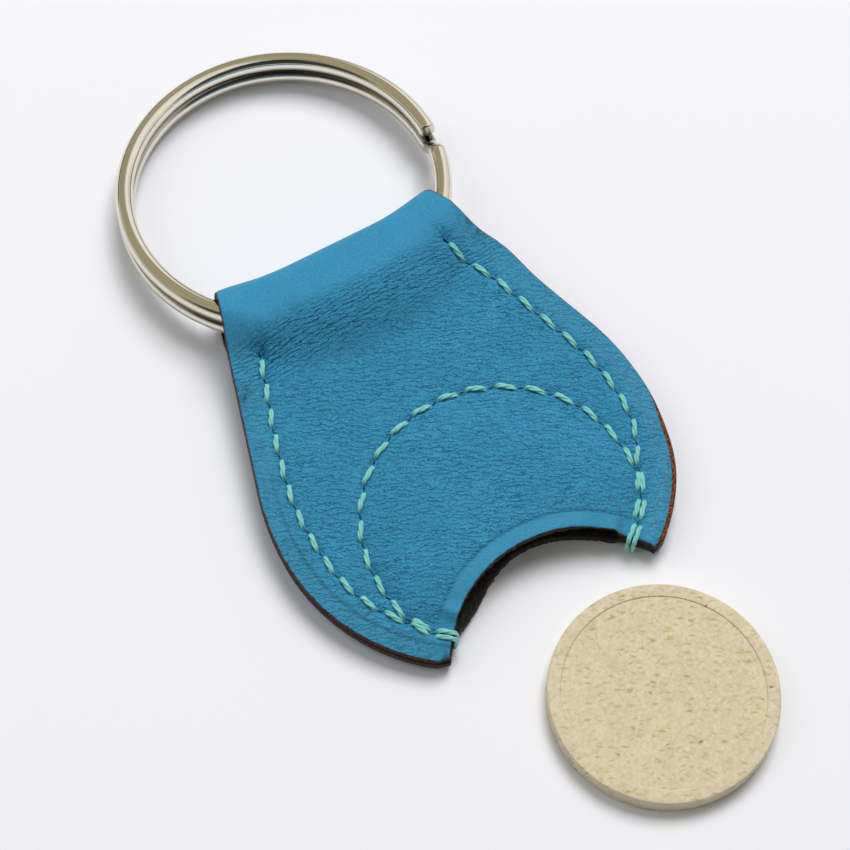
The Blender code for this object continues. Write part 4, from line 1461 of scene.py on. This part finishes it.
def paper_material():
    made, net, shader = new_material("white table")
    white = net.mottled(net.object_millimetres(), TABLE_WHITE, 60.0, 0.004)
    net.feed(shader.inputs["Base Color"], white)
    shader.inputs["Roughness"].default_value = 0.8
    shader.inputs["Specular IOR Level"].default_value = 0.1
    return made


def dress(piece, material, body, node):
    """Gives a piece its material and its body, and hides the CAD node that it stands for."""
    piece.data.materials.append(material)
    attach(piece, body)
    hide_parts(node)


# Stage


def aim(obj, target):
    direction = Vector(target) - obj.location
    obj.rotation_mode = "QUATERNION"
    obj.rotation_quaternion = direction.to_track_quat("-Z", "Y")


def add_light(name, place, size, power, colour):
    light = bpy.data.lights.new(name, "AREA")
    light.shape = "SQUARE"
    light.size = size
    light.energy = power
    light.color = colour
    lamp = add_object(name, light)
    lamp.location = place
    lamp.visible_glossy = False
    aim(lamp, (0, 0.012, 0))


def add_card(name, place, size, colour):
    """A dark card that only reflections see, as the room round the table would be."""
    deselect()
    bpy.ops.mesh.primitive_plane_add(size=1, location=place)
    card = named(name)
    card.scale = (*size, 1)
    aim(card, (0, 0.02, 0))
    material, _, shader = new_material(name)
    shader.inputs["Base Color"].default_value = colour
    shader.inputs["Roughness"].default_value = 1.0
    card.data.materials.append(material)
    for ray in ("camera", "diffuse", "shadow", "transmission"):
        setattr(card, "visible_" + ray, False)


WORLD_LIGHT = 0.32
WALL_LOW, WALL_HIGH = rgb(58, 53, 42), rgb(255, 254, 250)
LEFT_WALL = rgb(176, 171, 144)
WALL_PATCHES = rgb(112, 108, 92)
NEAR_WALL = rgb(60, 66, 62)
BACKGROUND = rgb(243, 244, 249)


def set_world():
    """A pale room, duller on the left, patchy, and dark near the horizon."""
    world = bpy.data.worlds.new("studio")
    bpy.context.scene.world = world
    world.use_nodes = True
    world.node_tree.nodes.clear()
    net = Net(world.node_tree)
    place = net.add("ShaderNodeTexCoord").outputs["Generated"]
    height = net.split(place)[2]
    ray = net.add("ShaderNodeLightPath").outputs
    to_left = net.vector("DOT_PRODUCT", place, (-0.86, 0.51, 0.0), output="Value")
    to_camera = net.vector("DOT_PRODUCT", place, (-0.40, -0.88, 0.0), output="Value")
    left = net.times(net.range(to_left, -0.17, 0.03), net.range(height, 0.12, 0.34))
    near = net.times(net.range(to_camera, 0.22, 0.50), ray["Is Glossy Ray"])
    near = net.times(near, net.range(height, 0.10, 0.30))
    room = net.mix(net.range(height, 0.02, 0.16), WALL_LOW, WALL_HIGH)
    room = net.mix(left, room, LEFT_WALL)
    room = net.mix(net.range(net.noise(place, 2.2, 1.0), 0.45, 0.60, 0.0, 0.25), room, WALL_PATCHES)
    room = net.mix(near, room, NEAR_WALL)
    colour = net.mix(ray["Is Camera Ray"], room, BACKGROUND)
    seen = net.math("MAXIMUM", ray["Is Camera Ray"], ray["Is Glossy Ray"])
    strength = net.range(seen, 0.0, 1.0, WORLD_LIGHT, 1.0, smooth=False)
    light = net.add("ShaderNodeBackground", {"Color": colour, "Strength": strength})
    net.add("ShaderNodeOutputWorld", {"Surface": light.outputs[0]})


PHOTO_WIDTH = 850
FOCAL_PIXELS = 2562
CAMERA_PLACE = (-0.068718, -0.087477, 0.239052)


def set_camera():
    data = bpy.data.cameras.new("camera")
    data.sensor_width = 36.0
    data.lens = data.sensor_width * FOCAL_PIXELS / PHOTO_WIDTH
    data.clip_start, data.clip_end = 0.01, 20
    camera = add_object("camera", data)
    right = Vector((0.85979, -0.50977, 0.02981))
    up = Vector((0.44246, 0.77286, 0.45489))
    turn = Matrix((right, up, right.cross(up))).transposed()
    camera.matrix_world = Matrix.Translation(CAMERA_PLACE) @ turn.to_4x4()
    bpy.context.scene.camera = camera


def set_stage():
    deselect()
    bpy.ops.mesh.primitive_plane_add(size=6)
    floor = named("white_table")
    floor.data.materials.append(paper_material())
    set_world()
    add_light("window light", (0.44, 0.42, 0.99), 0.62, 11.0, (1.0, 0.99, 0.97))
    add_light("room light", (-0.55, 0.48, 0.78), 0.9, 3.0, (0.96, 0.98, 1.0))
    add_card("dark room behind camera", (-0.10, -0.17, 0.42), (0.24, 0.17), rgb(22, 50, 58))
    add_card("far wall", (0.10, 0.75, 0.10), (1.2, 0.16), rgb(96, 92, 80))
    bpy.context.scene.view_settings.view_transform = "Standard"


# The object

dress(make_strap(), leather_material(), "fob", "leather_strap")
waxed = thread_material()
for seam, node in zip(make_threads(), ("right_edge_thread", "left_edge_thread", "pocket_thread")):
    dress(seam, waxed, "fob", node)
dress(make_ring(), nickel_material(), "ring", "split_ring")
dress(make_coin(), coin_material(), "coin", "trolley_coin")
set_stage()
set_camera()
